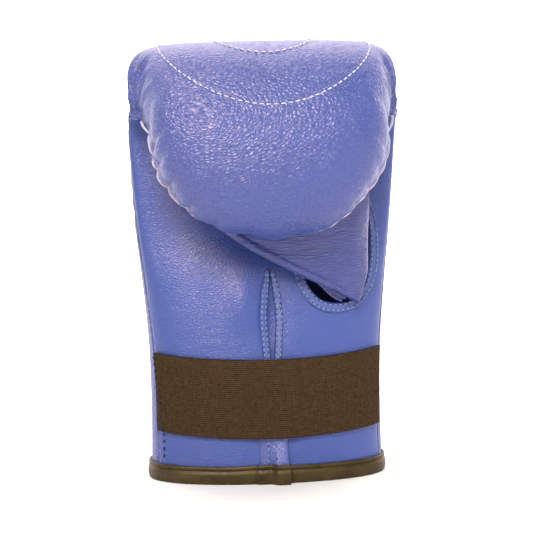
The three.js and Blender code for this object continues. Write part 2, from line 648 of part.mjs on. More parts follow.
// Binding: a tape folded round the hem. It starts at the edge of the left flap, goes round by
// the left side, the back and the right side, and ends under its own start.
function cuffBinding() {
  const s = sectionAt(0);
  const frontAngle = (x) => 1.5 * Math.PI + Math.sign(x) * Math.asin(Math.pow(Math.abs(x) / s.half, s.power / 2));
  const start = frontAngle(BINDING_LAP);
  const end = frontAngle(UNDERLAP_START) - 2 * Math.PI;
  const hemStart = SLIT_CENTRE - UNDERFLAP_CUT - SLIT_WIDTH / 2 - HEM_WIDTH / 2;
  const lapped = [...steps(LIFT_END, LIFT_START, LIFT_STEPS), LIFT_START - 1, hemStart].map(frontAngle);
  const angles = [start, ...lapped, ...steps(frontAngle(hemStart - HEM_WIDTH), end, BINDING_STEPS)];
  const wallAt = (angle) => {
    const seam = Math.acos(Math.pow(1 - s.wrap / s.half, s.power / 2));
    const far = 0.3;
    const near = 0.06;
    const shell = ease(angle, -seam - far, -seam - near) * (1 - ease(angle, Math.PI + seam + near, Math.PI + seam + far));
    return lerp(SHEET, Math.max(s.pad, SEAM_WALL) + 2 * CLEARANCE, shell);
  };
  const layers = angles.map((angle) => {
    const x = cuffAt(angle, 0, 0).x;
    const onFlap = angle > Math.PI ? ease(x, hemStart - HEM_WIDTH, hemStart) : 0;
    const lift = angle > Math.PI ? flapLift(x, 0) : 0;
    const pastPanel = angle > Math.PI ? ease(x, LIFT_START, LIFT_START + (LIFT_END - LIFT_START) / LIFT_STEPS) : 0;
    const outside = CLEARANCE + onFlap * (HEM_THICKNESS + CLEARANCE) + lift;
    const inside = lerp(-wallAt(angle) - CLEARANCE, 0, pastPanel) + lift;
    return { angle, outside, inside };
  });
  const face = (wall, swell) =>
    layers.map(({ angle, outside, inside }) =>
      TAPE_FOLD.map((p) => {
        const offset = (p.side > 0 ? outside : inside) + p.side * (wall * p.wall + swell * p.swell);
        return cuffAt(angle, Math.max(p.up * BINDING_HEIGHT, BINDING_WALL - wall), offset);
      }),
    );
  return solid(slab(face(BINDING_WALL, BINDING_SWELL), face(0, 0)));
}
add("cuff_binding", cuffBinding(), BINDING);

// Height of the finger pad's lower outline at x
const padOutline = (x) => {
  const share = Math.min(1, Math.abs(x) / (FINGER_PAD_WIDTH / 2));
  return FINGER_PAD_TOP - FINGER_LENGTH * Math.sqrt(1 - share * share);
};

// Finger panel: the sheet over the inside of the curled fingers, with its loose hanging fold
const PANEL_MARGIN = 1.5;
function fingerPanel() {
  const face = (out) => [
    ...steps(CROOK_TOP + CROOK_SHORT, FINGER_START, KNUCKLE_ROWS).map((t) => {
      const s = sectionAt(t);
      const edge = s.half - PANEL_MARGIN - GATHER_PULL;
      return steps(-edge, edge, PANEL_COLUMNS).map((x) => onSection(s, x, out));
    }),
    ...steps(0, 1, PANEL_ROWS - KNUCKLE_ROWS).slice(1).map((v) =>
      steps(-1, 1, PANEL_COLUMNS).map((u) => {
        const share = 1 - (PANEL_MARGIN + GATHER_PULL) / FINGER_LENGTH;
        const e = v * Math.sqrt(1 - (u * u) / 2) * share;
        const s = sectionAt(FINGER_START + e * (FINGER_END - FINGER_START));
        const q = u * Math.sqrt(1 - (v * v) / 2);
        return onSection(s, q * (s.half - PANEL_MARGIN - GATHER_PULL), out);
      }),
    ),
  ];
  const taut = solid(slab(face(-CLEARANCE), face(-CLEARANCE - SHEET)));
  return taut.add(hangingFold());
}

// Places where the fold's middle lies, from its left end to its free right edge
const FOLD_LINE = [
  { along: 0, forward: 0.9 },
  { along: 0.36, forward: 0.9 },
  { along: 0.6, forward: 0.87 },
  { along: 0.79, forward: 0.79 },
  { along: 0.91, forward: 0.74 },
  { along: 1, forward: 0.64 },
];
function foldForward(along) {
  let i = 0;
  while (i < FOLD_LINE.length - 2 && FOLD_LINE[i + 1].along < along) i++;
  const a = FOLD_LINE[i];
  const b = FOLD_LINE[i + 1];
  return PANEL_REACH * lerp(a.forward, b.forward, (along - a.along) / (b.along - a.along));
}
function hangingFold() {
  const gap = (SHEET + FOLD_GAP) / 2;
  const columns = steps(0, 1, FOLD_COLUMNS).map((along) => {
    const x = lerp(FOLD_START_X, FOLD_EDGE_X, along);
    const rim = padOutline(x) + GATHER_PULL + PANEL_MARGIN + FOLD_LAP;
    const straight = lerp(padOutline(FOLD_START_X) - 1, FOLD_TIP_Z, (x - FOLD_START_X) / (FOLD_TIP_X - FOLD_START_X));
    const rising = lerp(FOLD_TIP_Z, FOLD_EDGE_Z, (x - FOLD_TIP_X) / (FOLD_EDGE_X - FOLD_TIP_X));
    const bottom = x < FOLD_TIP_X ? straight : rising;
    const middle = -foldForward(along);
    const drop = (FINGER_PAD_TOP - padOutline(x)) / FINGER_LENGTH;
    const seam = sectionAt(lerp(FINGER_START, FINGER_END, drop)).axis.y + CLEARANCE + SHEET / 2;
    const down = (f) => lerp(seam, middle - gap, ease(f, 0, 1));
    const points = [
      ...[0, 0.25, 0.5, 0.75, 0.92].map((f) => [down(f), lerp(rim, bottom + gap, f)]),
      [middle, bottom],
      ...[0.92, 0.75, 0.5, 0.25, 0].map((f) => [lerp(seam, middle + gap, ease(f, 0, 0.35)), lerp(rim + 2 * SHEET, bottom + gap, f)]),
    ];
    const curve = new THREE.CatmullRomCurve3(points.map(([y, z]) => new THREE.Vector3(x, y, z)));
    return curve.getSpacedPoints(FOLD_ROWS);
  });
  const rows = columns[0].map((_, i) => columns.map((column) => column[i]));
  const offsetRows = (offset) =>
    rows.map((row, i) =>
      row.map((p, j) => {
        const next = rows[Math.min(i + 1, rows.length - 1)][j];
        const last = rows[Math.max(i - 1, 0)][j];
        const along = next.clone().sub(last);
        const normal = new THREE.Vector3(0, along.z, -along.y).normalize();
        return p.clone().addScaledVector(normal, offset);
      }),
    );
  return solid(slab(offsetRows(SHEET / 2), offsetRows(-SHEET / 2)));
}
add("finger_panel", fingerPanel(), VINYL);

// Stand the glove's box on the origin
const box = new THREE.Box3().setFromObject(glove);
const middle = box.getCenter(new THREE.Vector3());
glove.position.set(-middle.x, -middle.y, -box.min.z);

export default glove;
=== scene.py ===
import math

import bpy
import numpy as np
from mathutils import Matrix, Vector
from mathutils.bvhtree import BVHTree


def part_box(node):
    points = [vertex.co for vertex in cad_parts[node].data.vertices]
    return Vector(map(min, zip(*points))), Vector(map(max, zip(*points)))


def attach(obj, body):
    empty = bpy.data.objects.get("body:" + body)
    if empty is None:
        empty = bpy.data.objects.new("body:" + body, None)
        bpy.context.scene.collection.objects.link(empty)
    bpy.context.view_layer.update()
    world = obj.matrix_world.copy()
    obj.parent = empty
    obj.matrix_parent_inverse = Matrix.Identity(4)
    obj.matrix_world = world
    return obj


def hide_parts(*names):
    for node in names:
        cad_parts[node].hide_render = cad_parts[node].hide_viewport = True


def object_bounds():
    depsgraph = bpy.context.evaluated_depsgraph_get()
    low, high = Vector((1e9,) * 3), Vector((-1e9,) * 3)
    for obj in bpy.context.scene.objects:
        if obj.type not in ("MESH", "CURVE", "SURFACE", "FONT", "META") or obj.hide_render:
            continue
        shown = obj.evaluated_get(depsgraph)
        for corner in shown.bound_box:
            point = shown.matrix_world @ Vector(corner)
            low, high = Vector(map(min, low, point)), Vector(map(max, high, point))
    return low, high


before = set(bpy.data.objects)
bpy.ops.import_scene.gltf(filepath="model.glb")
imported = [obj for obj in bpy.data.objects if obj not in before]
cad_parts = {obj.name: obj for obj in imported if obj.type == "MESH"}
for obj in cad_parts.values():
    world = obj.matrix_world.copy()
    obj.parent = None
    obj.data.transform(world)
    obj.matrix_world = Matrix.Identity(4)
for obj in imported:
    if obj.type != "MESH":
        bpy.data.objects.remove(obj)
CAD_LOW, CAD_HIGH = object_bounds()

# Sizes are in millimetres until a mesh is made. +X is the thumb side, +Y the back of the hand.
MM = 1000
GLOVE_HEIGHT = 228
FIST_WIDTH = 140
WRIST_WIDTH = 122
CUFF_FLARE = 0.6
CUFF_BACK = 32
KNUCKLE_BACK = 41
PALM_BULGE = 31
FIST_REACH = 72
PANEL_REACH = 37
CROOK_DROP = 37.5
FINGER_PAD_DROP = 52
CROOK_HEIGHT = GLOVE_HEIGHT - CROOK_DROP
FINGER_PAD_TOP = GLOVE_HEIGHT - FINGER_PAD_DROP
FINGER_PAD_WIDTH = 124
FINGER_LENGTH = 47.5
TIP_HEIGHT = FINGER_PAD_TOP - FINGER_LENGTH

KNUCKLE_PAD = 20
SEAM_WALL = 3
SHEET = 1.6
CLEARANCE = 0.3

BAND_HEIGHT = 41
BAND_BOTTOM = 24
BAND_TOP = BAND_BOTTOM + BAND_HEIGHT
BAND_THICKNESS = 1.5
BAND_RISE = 3
BAND_EASE = 9

BINDING_HEIGHT = 9.4
BINDING_INSIDE_HEIGHT = 7
BINDING_WALL = 0.9
BINDING_SWELL = 0.5

SLIT_TOP = 111.5
SLIT_WIDTH = 5.4
SLIT_CENTRE = 0.9
HEM_WIDTH = 3.6
HEM_POINT = 12
HEM_THICKNESS = 1
HEM_TOP = SLIT_TOP - HEM_THICKNESS
FLAP_REACH = 7
UNDERLAP_REACH = 2.5
FLAP_LAP = SLIT_CENTRE + FLAP_REACH
BINDING_LAP = FLAP_LAP + 2 * CLEARANCE
UNDERLAP_START = SLIT_CENTRE + UNDERLAP_REACH
UNDERFLAP_CUT = 3
FLAP_START = SLIT_CENTRE - UNDERFLAP_CUT - SLIT_WIDTH / 2 - HEM_WIDTH / 2
FLAP_LIFT = 2 * BINDING_WALL + BINDING_SWELL + 3 * CLEARANCE

THUMB_CENTRE_X = 35.6
THUMB_CENTRE_Z = 122.6
THUMB_WIDTH = 37.4
THUMB_HEIGHT = 60
THUMB_HEM_WIDTH = 5
THUMB_POWER = 2.3

FOLD_START_X = -30
FOLD_TIP_X = 46.4
FOLD_TIP_DROP = 35.3
FOLD_TIP_Z = TIP_HEIGHT - FOLD_TIP_DROP
FOLD_EDGE_X = 51.5
FOLD_EDGE_DROP = 20
FOLD_EDGE_Z = TIP_HEIGHT - FOLD_EDGE_DROP
FOLD_GAP = 1.6
FOLD_START_RISE = 9.9
FOLD_START_Z = TIP_HEIGHT + FOLD_START_RISE
FOLD_SAG = 22
FOLD_LIP = 1
FOLD_OVERLAP = 6


def table(names, *rows):
    """Rows of numbers as dicts, with a name for each column."""
    return [dict(zip(names.split(), row)) for row in rows]


def look_up(rows, key, value, x):
    """The value at x, read between the rows of a table in which key grows."""
    return np.interp(x, [row[key] for row in rows], [row[value] for row in rows])


# Sections along the sleeve, as shares of the sizes above
HAND_SECTIONS = table(
    "up spread back pad bulge wrap power",
    (0.0, 0.0, 0.0, 0.18, 1.0, 0.045, 2.2),
    (0.11, 0.0, 0.0, 0.2, 1.0, 0.045, 2.2),
    (0.27, 0.0, 0.1, 0.5, 0.98, 0.04, 2.25),
    (0.405, 0.1, 0.35, 0.7, 0.93, 0.028, 2.4),
    (0.56, 0.38, 0.75, 0.8, 0.78, 0.016, 2.5),
    (0.7, 0.68, 1.0, 0.9, 0.52, 0.01, 2.8),
)
FIST_SECTIONS = table(
    "forward up crown_forward crown_up spread bulge power",
    (0.07, 0.925, -0.96, 0.84, 0.98, 0.28, 4.2),
    (0.25, 0.982, -0.56, 0.955, 1.0, 0.08, 5.4),
    (0.49, 1.0, 0.1, 1.0, 0.98, 0.0, 6.4),
    (0.74, 0.988, 0.57, 0.977, 0.5, 0.0, 4.2),
)
FINGER_SECTIONS = table(
    "forward drop crown_forward rise power",
    (0.93, 0.0, 0.89, 0.62, 3.4),
    (0.98, 0.5, 1.0, 0.2, 2.6),
    (1.0, 1.0, 0.97, -0.1, 2.4),
)
HAND_END = len(HAND_SECTIONS) - 1
FINGER_START = len(HAND_SECTIONS) + len(FIST_SECTIONS)
FINGER_END = FINGER_START + len(FINGER_SECTIONS) - 1
CROOK_TOP = len(HAND_SECTIONS) + 2

# Gathers along the seam, in degrees round the finger pad from its upper left corner
GATHER_PULL = 2.6
GATHER_CREASE = 0.035
GATHER_REACH = 0.2
GATHERS = table(
    "at pull wide",
    (-42, 0.35, 4.5),
    (-30, 0.5, 4),
    (-19, 0.6, 3.5),
    (-8, 0.7, 3),
    (6.5, 0.75, 2.6),
    (16, 0.7, 2.6),
    (29, 0.6, 3),
    (44, 0.4, 3),
    (59, 0.45, 4),
    (78, 0.6, 6),
    (103, 0.6, 6),
    (126, 0.28, 4),
    (137, 0.25, 3),
    (147, 0.28, 3),
    (158, 0.28, 3),
    (168, 0.28, 3),
    (185, 0.7, 3),
    (198, 0.6, 3.5),
    (210, 0.5, 4),
    (222, 0.35, 4.5),
)


def lerp(a, b, f):
    return a + (b - a) * f


def ease(x, low, high):
    f = np.clip((np.asarray(x, float) - low) / (high - low), 0, 1)
    return f * f * (3 - 2 * f)


def unit(vectors, least=0):
    return vectors / (np.linalg.norm(vectors, axis=-1, keepdims=True) + least)


def rounded(value, power):
    """The cosine or sine of a rounded square, for a power over 2."""
    return np.sign(value) * np.abs(value) ** (2 / power)


def distances(points):
    """The distance of each point of a line from its start."""
    return np.concatenate([[0], np.cumsum(np.linalg.norm(np.diff(points, axis=0), axis=1))])


def section_rows():
    """Every section in millimetres, one row each, with a name for each column."""
    rows = []
    for i, s in enumerate(HAND_SECTIONS):
        z = s["up"] * CROOK_HEIGHT
        half = lerp(WRIST_WIDTH, FIST_WIDTH, s["spread"]) / 2 + (CUFF_FLARE if i == 0 else 0)
        rows.append(dict(axis_y=0, axis_z=z, crown_y=lerp(CUFF_BACK, KNUCKLE_BACK, s["back"]), crown_z=z))
        rows[-1].update(half=half, pad=s["pad"] * KNUCKLE_PAD, wrap=s["wrap"] * WRIST_WIDTH / 2)
    for s in FIST_SECTIONS:
        reach = KNUCKLE_BACK if s["crown_forward"] < 0 else FIST_REACH
        y, z = -s["forward"] * PANEL_REACH, s["up"] * CROOK_HEIGHT
        half = lerp(WRIST_WIDTH, FIST_WIDTH, s["spread"]) / 2
        rows.append(dict(axis_y=y, axis_z=z, crown_y=-s["crown_forward"] * reach, half=half))
        rows[-1].update(crown_z=s["crown_up"] * GLOVE_HEIGHT, pad=KNUCKLE_PAD, wrap=0)
    for s in FINGER_SECTIONS:
        y, z = -s["forward"] * PANEL_REACH, lerp(FINGER_PAD_TOP, TIP_HEIGHT, s["drop"])
        up = s["rise"] * (FIST_REACH - PANEL_REACH)
        rows.append(dict(axis_y=y, axis_z=z, crown_y=-s["crown_forward"] * FIST_REACH, crown_z=z + up))
        rows[-1].update(half=FINGER_PAD_WIDTH / 2, pad=KNUCKLE_PAD, wrap=0)
    for row, s in zip(rows, HAND_SECTIONS + FIST_SECTIONS + FINGER_SECTIONS):
        row.update(bulge=s.get("bulge", 0) * PALM_BULGE, power=s["power"])
    return rows


ROWS = section_rows()
COLUMNS = {key: np.array([row[key] for row in ROWS], float) for key in ROWS[0]}


class Section:
    """The section at t, a fractional row of the table, or at an array of them."""

    def __init__(self, t):
        t = np.clip(np.asarray(t, float), 0, len(ROWS) - 1)
        i = np.minimum(t.astype(int), len(ROWS) - 2)
        f = t - i
        last = len(ROWS) - 1

        def value(key):
            column = COLUMNS[key]
            a, b, c, d = (column[np.clip(i + k, 0, last)] for k in (-1, 0, 1, 2))
            slope, ahead = (c - a) / 2, (d - b) / 2
            f2, f3 = f * f, f * f * f
            return (
                (2 * f3 - 3 * f2 + 1) * b
                + (f3 - 2 * f2 + f) * slope
                + (3 * f2 - 2 * f3) * c
                + (f3 - f2) * ahead
            )

        self.axis_y, self.axis_z = value("axis_y"), value("axis_z")
        reach_y, reach_z = value("crown_y") - self.axis_y, value("crown_z") - self.axis_z
        self.depth = np.hypot(reach_y, reach_z)
        self.out_y, self.out_z = reach_y / self.depth, reach_z / self.depth
        self.half, self.pad, self.power = value("half"), value("pad"), value("power")
        self.bulge = np.maximum(0, value("bulge"))
        self.wrap = np.maximum(0, value("wrap"))

    def point(self, x, out):
        x, out = np.broadcast_arrays(x, out)
        return np.stack([x, self.axis_y + self.out_y * out, self.axis_z + self.out_z * out], -1)


def row_at(z, last, samples=200):
    """The fractional row, among the first ones, whose axis is at height z."""
    t = np.linspace(0, last, samples)
    return np.interp(z, Section(t).axis_z, t)


def crown_share(r, power):
    return np.power(np.maximum(0, 1 - np.power(np.minimum(1, r), power)), 1 / power)


def seam_length_table():
    t = np.linspace(0, FINGER_START, 400)
    s = Section(t)
    step = np.hypot(np.diff(s.axis_y), np.diff(s.axis_z))
    ahead = np.concatenate([np.cumsum(step[::-1])[::-1], [0]])
    return t, ahead


SEAM_T, SEAM_AHEAD = seam_length_table()
MM_PER_DEGREE = (FINGER_LENGTH + FINGER_PAD_WIDTH / 2) / 2 * math.radians(1)


def gather_at(degrees):
    """How strongly the seam pulls in: sharp in the notch and soft round it."""
    pull = np.zeros_like(np.asarray(degrees, float))
    for g in GATHERS:
        d = np.abs(degrees - g["at"]) / g["wide"]
        pull = pull + g["pull"] * (0.55 * np.exp(-d * d) + 0.6 * np.exp(-1.7 * d))
    return pull


def resample(points, n):
    """n points at equal distances along a line of many points."""
    lengths = distances(points)
    wanted = np.linspace(0, lengths[-1], n)
    return np.stack([np.interp(wanted, lengths, points[:, k]) for k in range(3)], 1)


FINE = 700


def sleeve_row(t, inner, columns, gathered):
    s = Section(t)
    half = s.half - (SEAM_WALL if inner else 0)
    depth = s.depth - (s.pad if inner else 0)
    bulge = max(0, s.bulge - (SEAM_WALL if inner else 0))
    turn = math.acos((1 - s.wrap / s.half) ** (s.power / 2))
    seam = np.interp(t, SEAM_T, SEAM_AHEAD) / MM_PER_DEGREE
    angle = np.linspace(math.pi + turn, -turn, FINE)
    across = rounded(np.cos(angle), s.power)
    crown = np.abs(np.sin(angle)) ** (2 / s.power)
    near = ease(np.abs(across), 1 - GATHER_REACH, 1)
    pull = 0 if inner else gathered * gather_at(np.where(across < 0, -seam, 180 + seam)) * near
    x = across * (half - GATHER_PULL * pull)
    out = np.where(np.sin(angle) >= 0, depth * crown * (1 - GATHER_CREASE * pull), -bulge * crown)
    return resample(s.point(x, out), columns)


def finger_row(v, inner, columns, gathered):
    wall = SEAM_WALL if inner else 0
    u = np.sin(np.radians(np.linspace(-90, 90, FINE)))
    q = u * np.sqrt(1 - v * v / 2)
    e = v * np.sqrt(1 - u * u / 2)
    r = np.hypot(q, e)
    near = ease(r, 1 - GATHER_REACH, 1)
    pull = 0 if inner else gathered * gather_at(180 - np.degrees(np.arctan2(e, q))) * near
    share = (1 - wall / FINGER_LENGTH) * (1 - GATHER_PULL * pull / FINGER_LENGTH)
    s = Section(FINGER_START + e * share * (FINGER_END - FINGER_START))
    depth = s.depth - (s.pad if inner else 0)
    out = depth * crown_share(r, s.power) * (1 - GATHER_CREASE * pull)
    return resample(s.point(q * (s.half - wall - GATHER_PULL * pull), out), columns)


CLOTH_BOTTOM = BINDING_WALL + CLEARANCE
CLOTH_BOTTOM_ROW = float(row_at(CLOTH_BOTTOM, 1, 50))


def shell_grid(inner, hand, fist, finger, columns, gathered=1):
    """Rows of the sleeve's skin, so many along the hand, the fist and the fingers."""
    places = list(np.linspace(HAND_END, FINGER_START, fist))
    if hand:
        places = list(np.linspace(CLOTH_BOTTOM_ROW, HAND_END, hand)[:-1]) + places
    angles = np.radians(np.linspace(0, 90, finger))[1:]
    rows = [sleeve_row(t, inner, columns, gathered) for t in places]
    rows += [finger_row(math.sin(a), inner, columns, gathered) for a in angles]
    return np.array(rows)


# The solids stand with the middle of their box over the origin
HAND_ROWS, FIST_ROWS, FINGER_ROWS, SHELL_COLUMNS = 56, 131, 81, 181
OUTER = shell_grid(False, HAND_ROWS, FIST_ROWS, FINGER_ROWS, SHELL_COLUMNS)
INNER = shell_grid(True, HAND_ROWS, FIST_ROWS, FINGER_ROWS, SHELL_COLUMNS)
SHELL_BOXES = [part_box("back_pad"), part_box("finger_pad")]
SOLIDS_Y = MM / 2 * (min(low[1] for low, _ in SHELL_BOXES) + max(high[1] for _, high in SHELL_BOXES))
SHIFT = np.array([0, SOLIDS_Y - (OUTER[..., 1].min() + OUTER[..., 1].max()) / 2, 0])


def to_row(points):
    return (np.asarray(points, float) + SHIFT) / MM


def make_object(name, vertices, faces, uvs=None, smooth=True):
    """A mesh from arrays. uvs holds one pair for each vertex, in millimetres."""
    mesh = bpy.data.meshes.new(name)
    mesh.from_pydata([tuple(v) for v in to_row(vertices)], [], [tuple(f) for f in faces])
    if uvs is not None:
        layer = mesh.uv_layers.new(name="cut")
        loops = np.empty(len(mesh.loops), int)
        mesh.loops.foreach_get("vertex_index", loops)
        layer.data.foreach_set("uv", np.asarray(uvs, float)[loops].ravel())
    mesh.validate()
    mesh.update()
    obj = bpy.data.objects.new(name, mesh)
    bpy.context.scene.collection.objects.link(obj)
    mesh.polygons.foreach_set("use_smooth", [smooth] * len(mesh.polygons))
    return obj


def discard(obj):
    mesh = obj.data
    bpy.data.objects.remove(obj)
    bpy.data.meshes.remove(mesh)


def grid_uv(grid):
    """Distance along the rows and the columns of a grid, in millimetres."""
    across = np.zeros(grid.shape[:2])
    across[:, 1:] = np.cumsum(np.linalg.norm(np.diff(grid, axis=1), axis=2), axis=1)
    across -= across[:, -1:] / 2
    along = np.zeros(grid.shape[:2])
    along[1:] = np.cumsum(np.linalg.norm(np.diff(grid, axis=0), axis=2), axis=0)
    return np.stack([across, along], -1).reshape(-1, 2)


def grid_faces(rows, columns):
    i, j = np.meshgrid(np.arange(rows - 1), np.arange(columns - 1), indexing="ij")
    a = (i * columns + j).ravel()
    return np.stack([a, a + 1, a + columns + 1, a + columns], 1)


def slab_faces(rows, columns):
    """Faces of two grids of the same size, front and back, and of the four sides between them."""
    n = rows * columns
    front = grid_faces(rows, columns)
    down, right = np.arange(rows) * columns, np.arange(columns)
    sides = [
        np.stack([line[:-1], line[:-1] + n, line[1:] + n, line[1:]], 1)
        for line in (down[::-1], down + columns - 1, right, (down[-1] + right)[::-1])
    ]
    return np.concatenate([front, front[:, ::-1] + n, *sides])


def slab(name, front, back):
    """A closed mesh between two grids with the same rows and columns."""
    vertices = np.concatenate([front.reshape(-1, 3), back.reshape(-1, 3)])
    uvs = np.concatenate([grid_uv(front), grid_uv(back)])
    return make_object(name, vertices, slab_faces(*front.shape[:2]), uvs)


def grid_normals(grid):
    return unit(np.cross(np.gradient(grid, axis=1), np.gradient(grid, axis=0)), 1e-12)


def front_normals(grid, row, column):
    """The normals of a grid, facing the palm's side at one of its points."""
    normal = grid_normals(grid)
    return -normal if normal[row, column, 1] > 0 else normal


# ---- Finishes
def nodes_of(name):
    material = bpy.data.materials.new(name)
    material.use_nodes = True
    return material, material.node_tree, material.node_tree.nodes["Principled BSDF"]


def plug(tree, node, inputs):
    """Sets inputs, by name or number, to a value or to another node's output."""
    for key, value in inputs.items():
        if isinstance(value, bpy.types.NodeSocket):
            tree.links.new(value, node.inputs[key])
        else:
            node.inputs[key].default_value = value


def add(tree, kind, inputs=None, **settings):
    node = tree.nodes.new("ShaderNode" + kind)
    for key, value in settings.items():
        setattr(node, key, value)
    plug(tree, node, inputs or {})
    return node


def noise(tree, coords, scale, detail, roughness):
    inputs = {"Vector": coords, "Scale": scale, "Detail": detail, "Roughness": roughness}
    return add(tree, "TexNoise", inputs).outputs["Fac"]


def ramp(tree, fac, stops):
    node = add(tree, "ValToRGB", {"Fac": fac})
    while len(node.color_ramp.elements) < len(stops):
        node.color_ramp.elements.new(0.5)
    for element, (place, colour) in zip(node.color_ramp.elements, stops):
        element.position = place
        element.color = (*colour, 1)
    return node.outputs["Color"]


def spread(tree, fac, low, high, to_low, to_high):
    inputs = {"Value": fac, "From Min": low, "From Max": high, "To Min": to_low, "To Max": to_high}
    return add(tree, "MapRange", inputs).outputs["Result"]


def bump(tree, height, distance, strength, before=None):
    node = add(tree, "Bump", {"Height": height, "Distance": distance, "Strength": strength})
    if before is not None:
        plug(tree, node, {"Normal": before})
    return node.outputs["Normal"]


# Heights are in metres
GRAIN_SHAKE = 0.0016
PEBBLE_HEIGHT = 0.00036
CRUMPLE_HEIGHT = 0.0003
BROAD_HEIGHT = 0.0016
# Painted shade: the creases between the grain's pebbles are darkened by this tone, at this share
CREASE_SHADE_TONE = (0.5, 0.52, 0.6)
CREASE_SHADE_SHARE = 0.6
VINYL_TINT = (1, 0.84, 0.76, 1)
TAPE_TINT = (1, 0.8, 0.5, 1)
WAVE_SCALE = 0.314
THREAD_ROUGHNESS = 0.6


def vinyl(name, dark, light, rough, size, grain=1.0, pulled=(0.85, 0.9, 1.2), shine=0.95, rim_highlight=None):
    """Grained vinyl: pebbled cells with creases between them, the creases painted darker as shade. Its last
    argument is the colour of a painted highlight, mixed in where the mesh's attribute of that name says.
    """
    material, tree, shader = nodes_of(name)
    coords = add(tree, "TexCoord").outputs["Object"]
    shake = add(tree, "TexNoise", {"Vector": coords, "Scale": 240, "Detail": 1}).outputs["Color"]
    warp = add(tree, "VectorMath", {0: shake, 1: (GRAIN_SHAKE,) * 3, 2: coords}, operation="MULTIPLY_ADD")
    flat = add(tree, "VectorMath", {0: warp.outputs["Vector"], 1: pulled}, operation="MULTIPLY")
    flat = flat.outputs["Vector"]
    cells = add(tree, "TexVoronoi", {"Vector": flat, "Scale": 1 / size}, feature="DISTANCE_TO_EDGE")
    to_edge = cells.outputs["Distance"]
    pebble = spread(tree, to_edge, 0.0, 0.45, 0.0, 1.0)
    crumple = noise(tree, flat, 300, 1, 0.4)
    tone = ramp(tree, noise(tree, coords, 16, 4, 0.6), [(0.3, dark), (0.7, light)])
    # Painted shade: the creases between the pebbles are darkened
    crease = ramp(tree, to_edge, [(0.0, CREASE_SHADE_TONE), (0.2, (1, 1, 1))])
    mixed = {0: CREASE_SHADE_SHARE * grain, 6: tone, 7: crease}
    colour = add(tree, "Mix", mixed, data_type="RGBA", blend_type="MULTIPLY").outputs[2]
    # Painted highlight: a paler, pinker colour mixed in where the mesh's attribute says
    if rim_highlight is not None:
        lit_rim = add(tree, "Attribute", attribute_name="rim_highlight").outputs["Fac"]
        colour = add(tree, "Mix", {0: lit_rim, 6: colour, 7: (*rim_highlight, 1)}, data_type="RGBA").outputs[2]
    under = bump(tree, noise(tree, coords, 30, 3, 0.5), BROAD_HEIGHT, 0.2)
    under = bump(tree, crumple, CRUMPLE_HEIGHT * grain, 0.5, under)
    finish = {
        "Base Color": colour,
        "Roughness": spread(tree, crumple, 0.3, 0.7, rough - 0.03, rough + 0.05),
        "Normal": bump(tree, pebble, PEBBLE_HEIGHT * grain, 0.9, under),
        "Specular IOR Level": shine,
        "Specular Tint": VINYL_TINT,
    }
    plug(tree, shader, finish)
    return material


def woven(name, dark, light, pitch):
    """Ribbed elastic webbing: ribs along its length, fine picks across them."""
    material, tree, shader = nodes_of(name)
    place = add(tree, "TexCoord").outputs
    ribs = {"Vector": place["UV"], "Scale": WAVE_SCALE / pitch, "Distortion": 0.6, "Detail Scale": 2.5}
    ribs = add(tree, "TexWave", ribs, bands_direction="Y").outputs["Fac"]
    picks = {"Vector": place["UV"], "Scale": WAVE_SCALE / (pitch * 0.9), "Distortion": 0.9}
    picks = add(tree, "TexWave", picks, bands_direction="X").outputs["Fac"]
    fuzz = noise(tree, place["Object"], 560, 3, 0.7)
    soft = spread(tree, ribs, 0, 1, 0, 0.6)
    weave = add(tree, "Math", {0: picks, 1: 0.45, 2: soft}, operation="MULTIPLY_ADD").outputs["Value"]
    tone = add(tree, "Math", {0: fuzz, 1: 1.6, 2: weave}, operation="MULTIPLY_ADD").outputs["Value"]
    finish = {
        "Base Color": ramp(tree, spread(tree, tone, 0.85, 1.85, 0, 1), [(0, dark), (1, light)]),
        "Roughness": spread(tree, fuzz, 0.2, 0.8, 0.75, 0.95),
        "Normal": bump(tree, weave, 0.0003, 0.6, bump(tree, fuzz, 0.0002, 0.4)),
        "Specular IOR Level": 0.05,
    }
    plug(tree, shader, finish)
    return material


def tape(name, dark, light, rough):
    """Smooth vinyl tape: a glossy skin with small creases and a scuffed tone."""
    material, tree, shader = nodes_of(name)
    coords = add(tree, "TexCoord").outputs["Object"]
    scuff = noise(tree, coords, 90, 5, 0.65)
    crease = noise(tree, coords, 520, 3, 0.6)
    finish = {
        "Base Color": ramp(tree, scuff, [(0.3, dark), (0.75, light)]),
        "Roughness": spread(tree, crease, 0.3, 0.7, rough - 0.06, rough + 0.14),
        "Normal": bump(tree, scuff, 0.0012, 0.3, bump(tree, crease, 0.0003, 0.3)),
        "Specular IOR Level": 0.45,
        "Specular Tint": TAPE_TINT,
    }
    plug(tree, shader, finish)
    return material


def thread(name, colour):
    """Twisted thread: a spiral of plies along each stitch."""
    material, tree, shader = nodes_of(name)
    uv = add(tree, "TexCoord").outputs["UV"]
    plies = add(tree, "TexWave", {"Vector": uv, "Scale": 3.2}, bands_direction="DIAGONAL").outputs["Fac"]
    darker = tuple(0.6 * c for c in colour)
    finish = {
        "Base Color": ramp(tree, plies, [(0.2, darker), (0.7, colour)]),
        "Roughness": THREAD_ROUGHNESS,
        "Normal": bump(tree, plies, 0.0001, 0.6),
    }
    plug(tree, shader, finish)
    return material
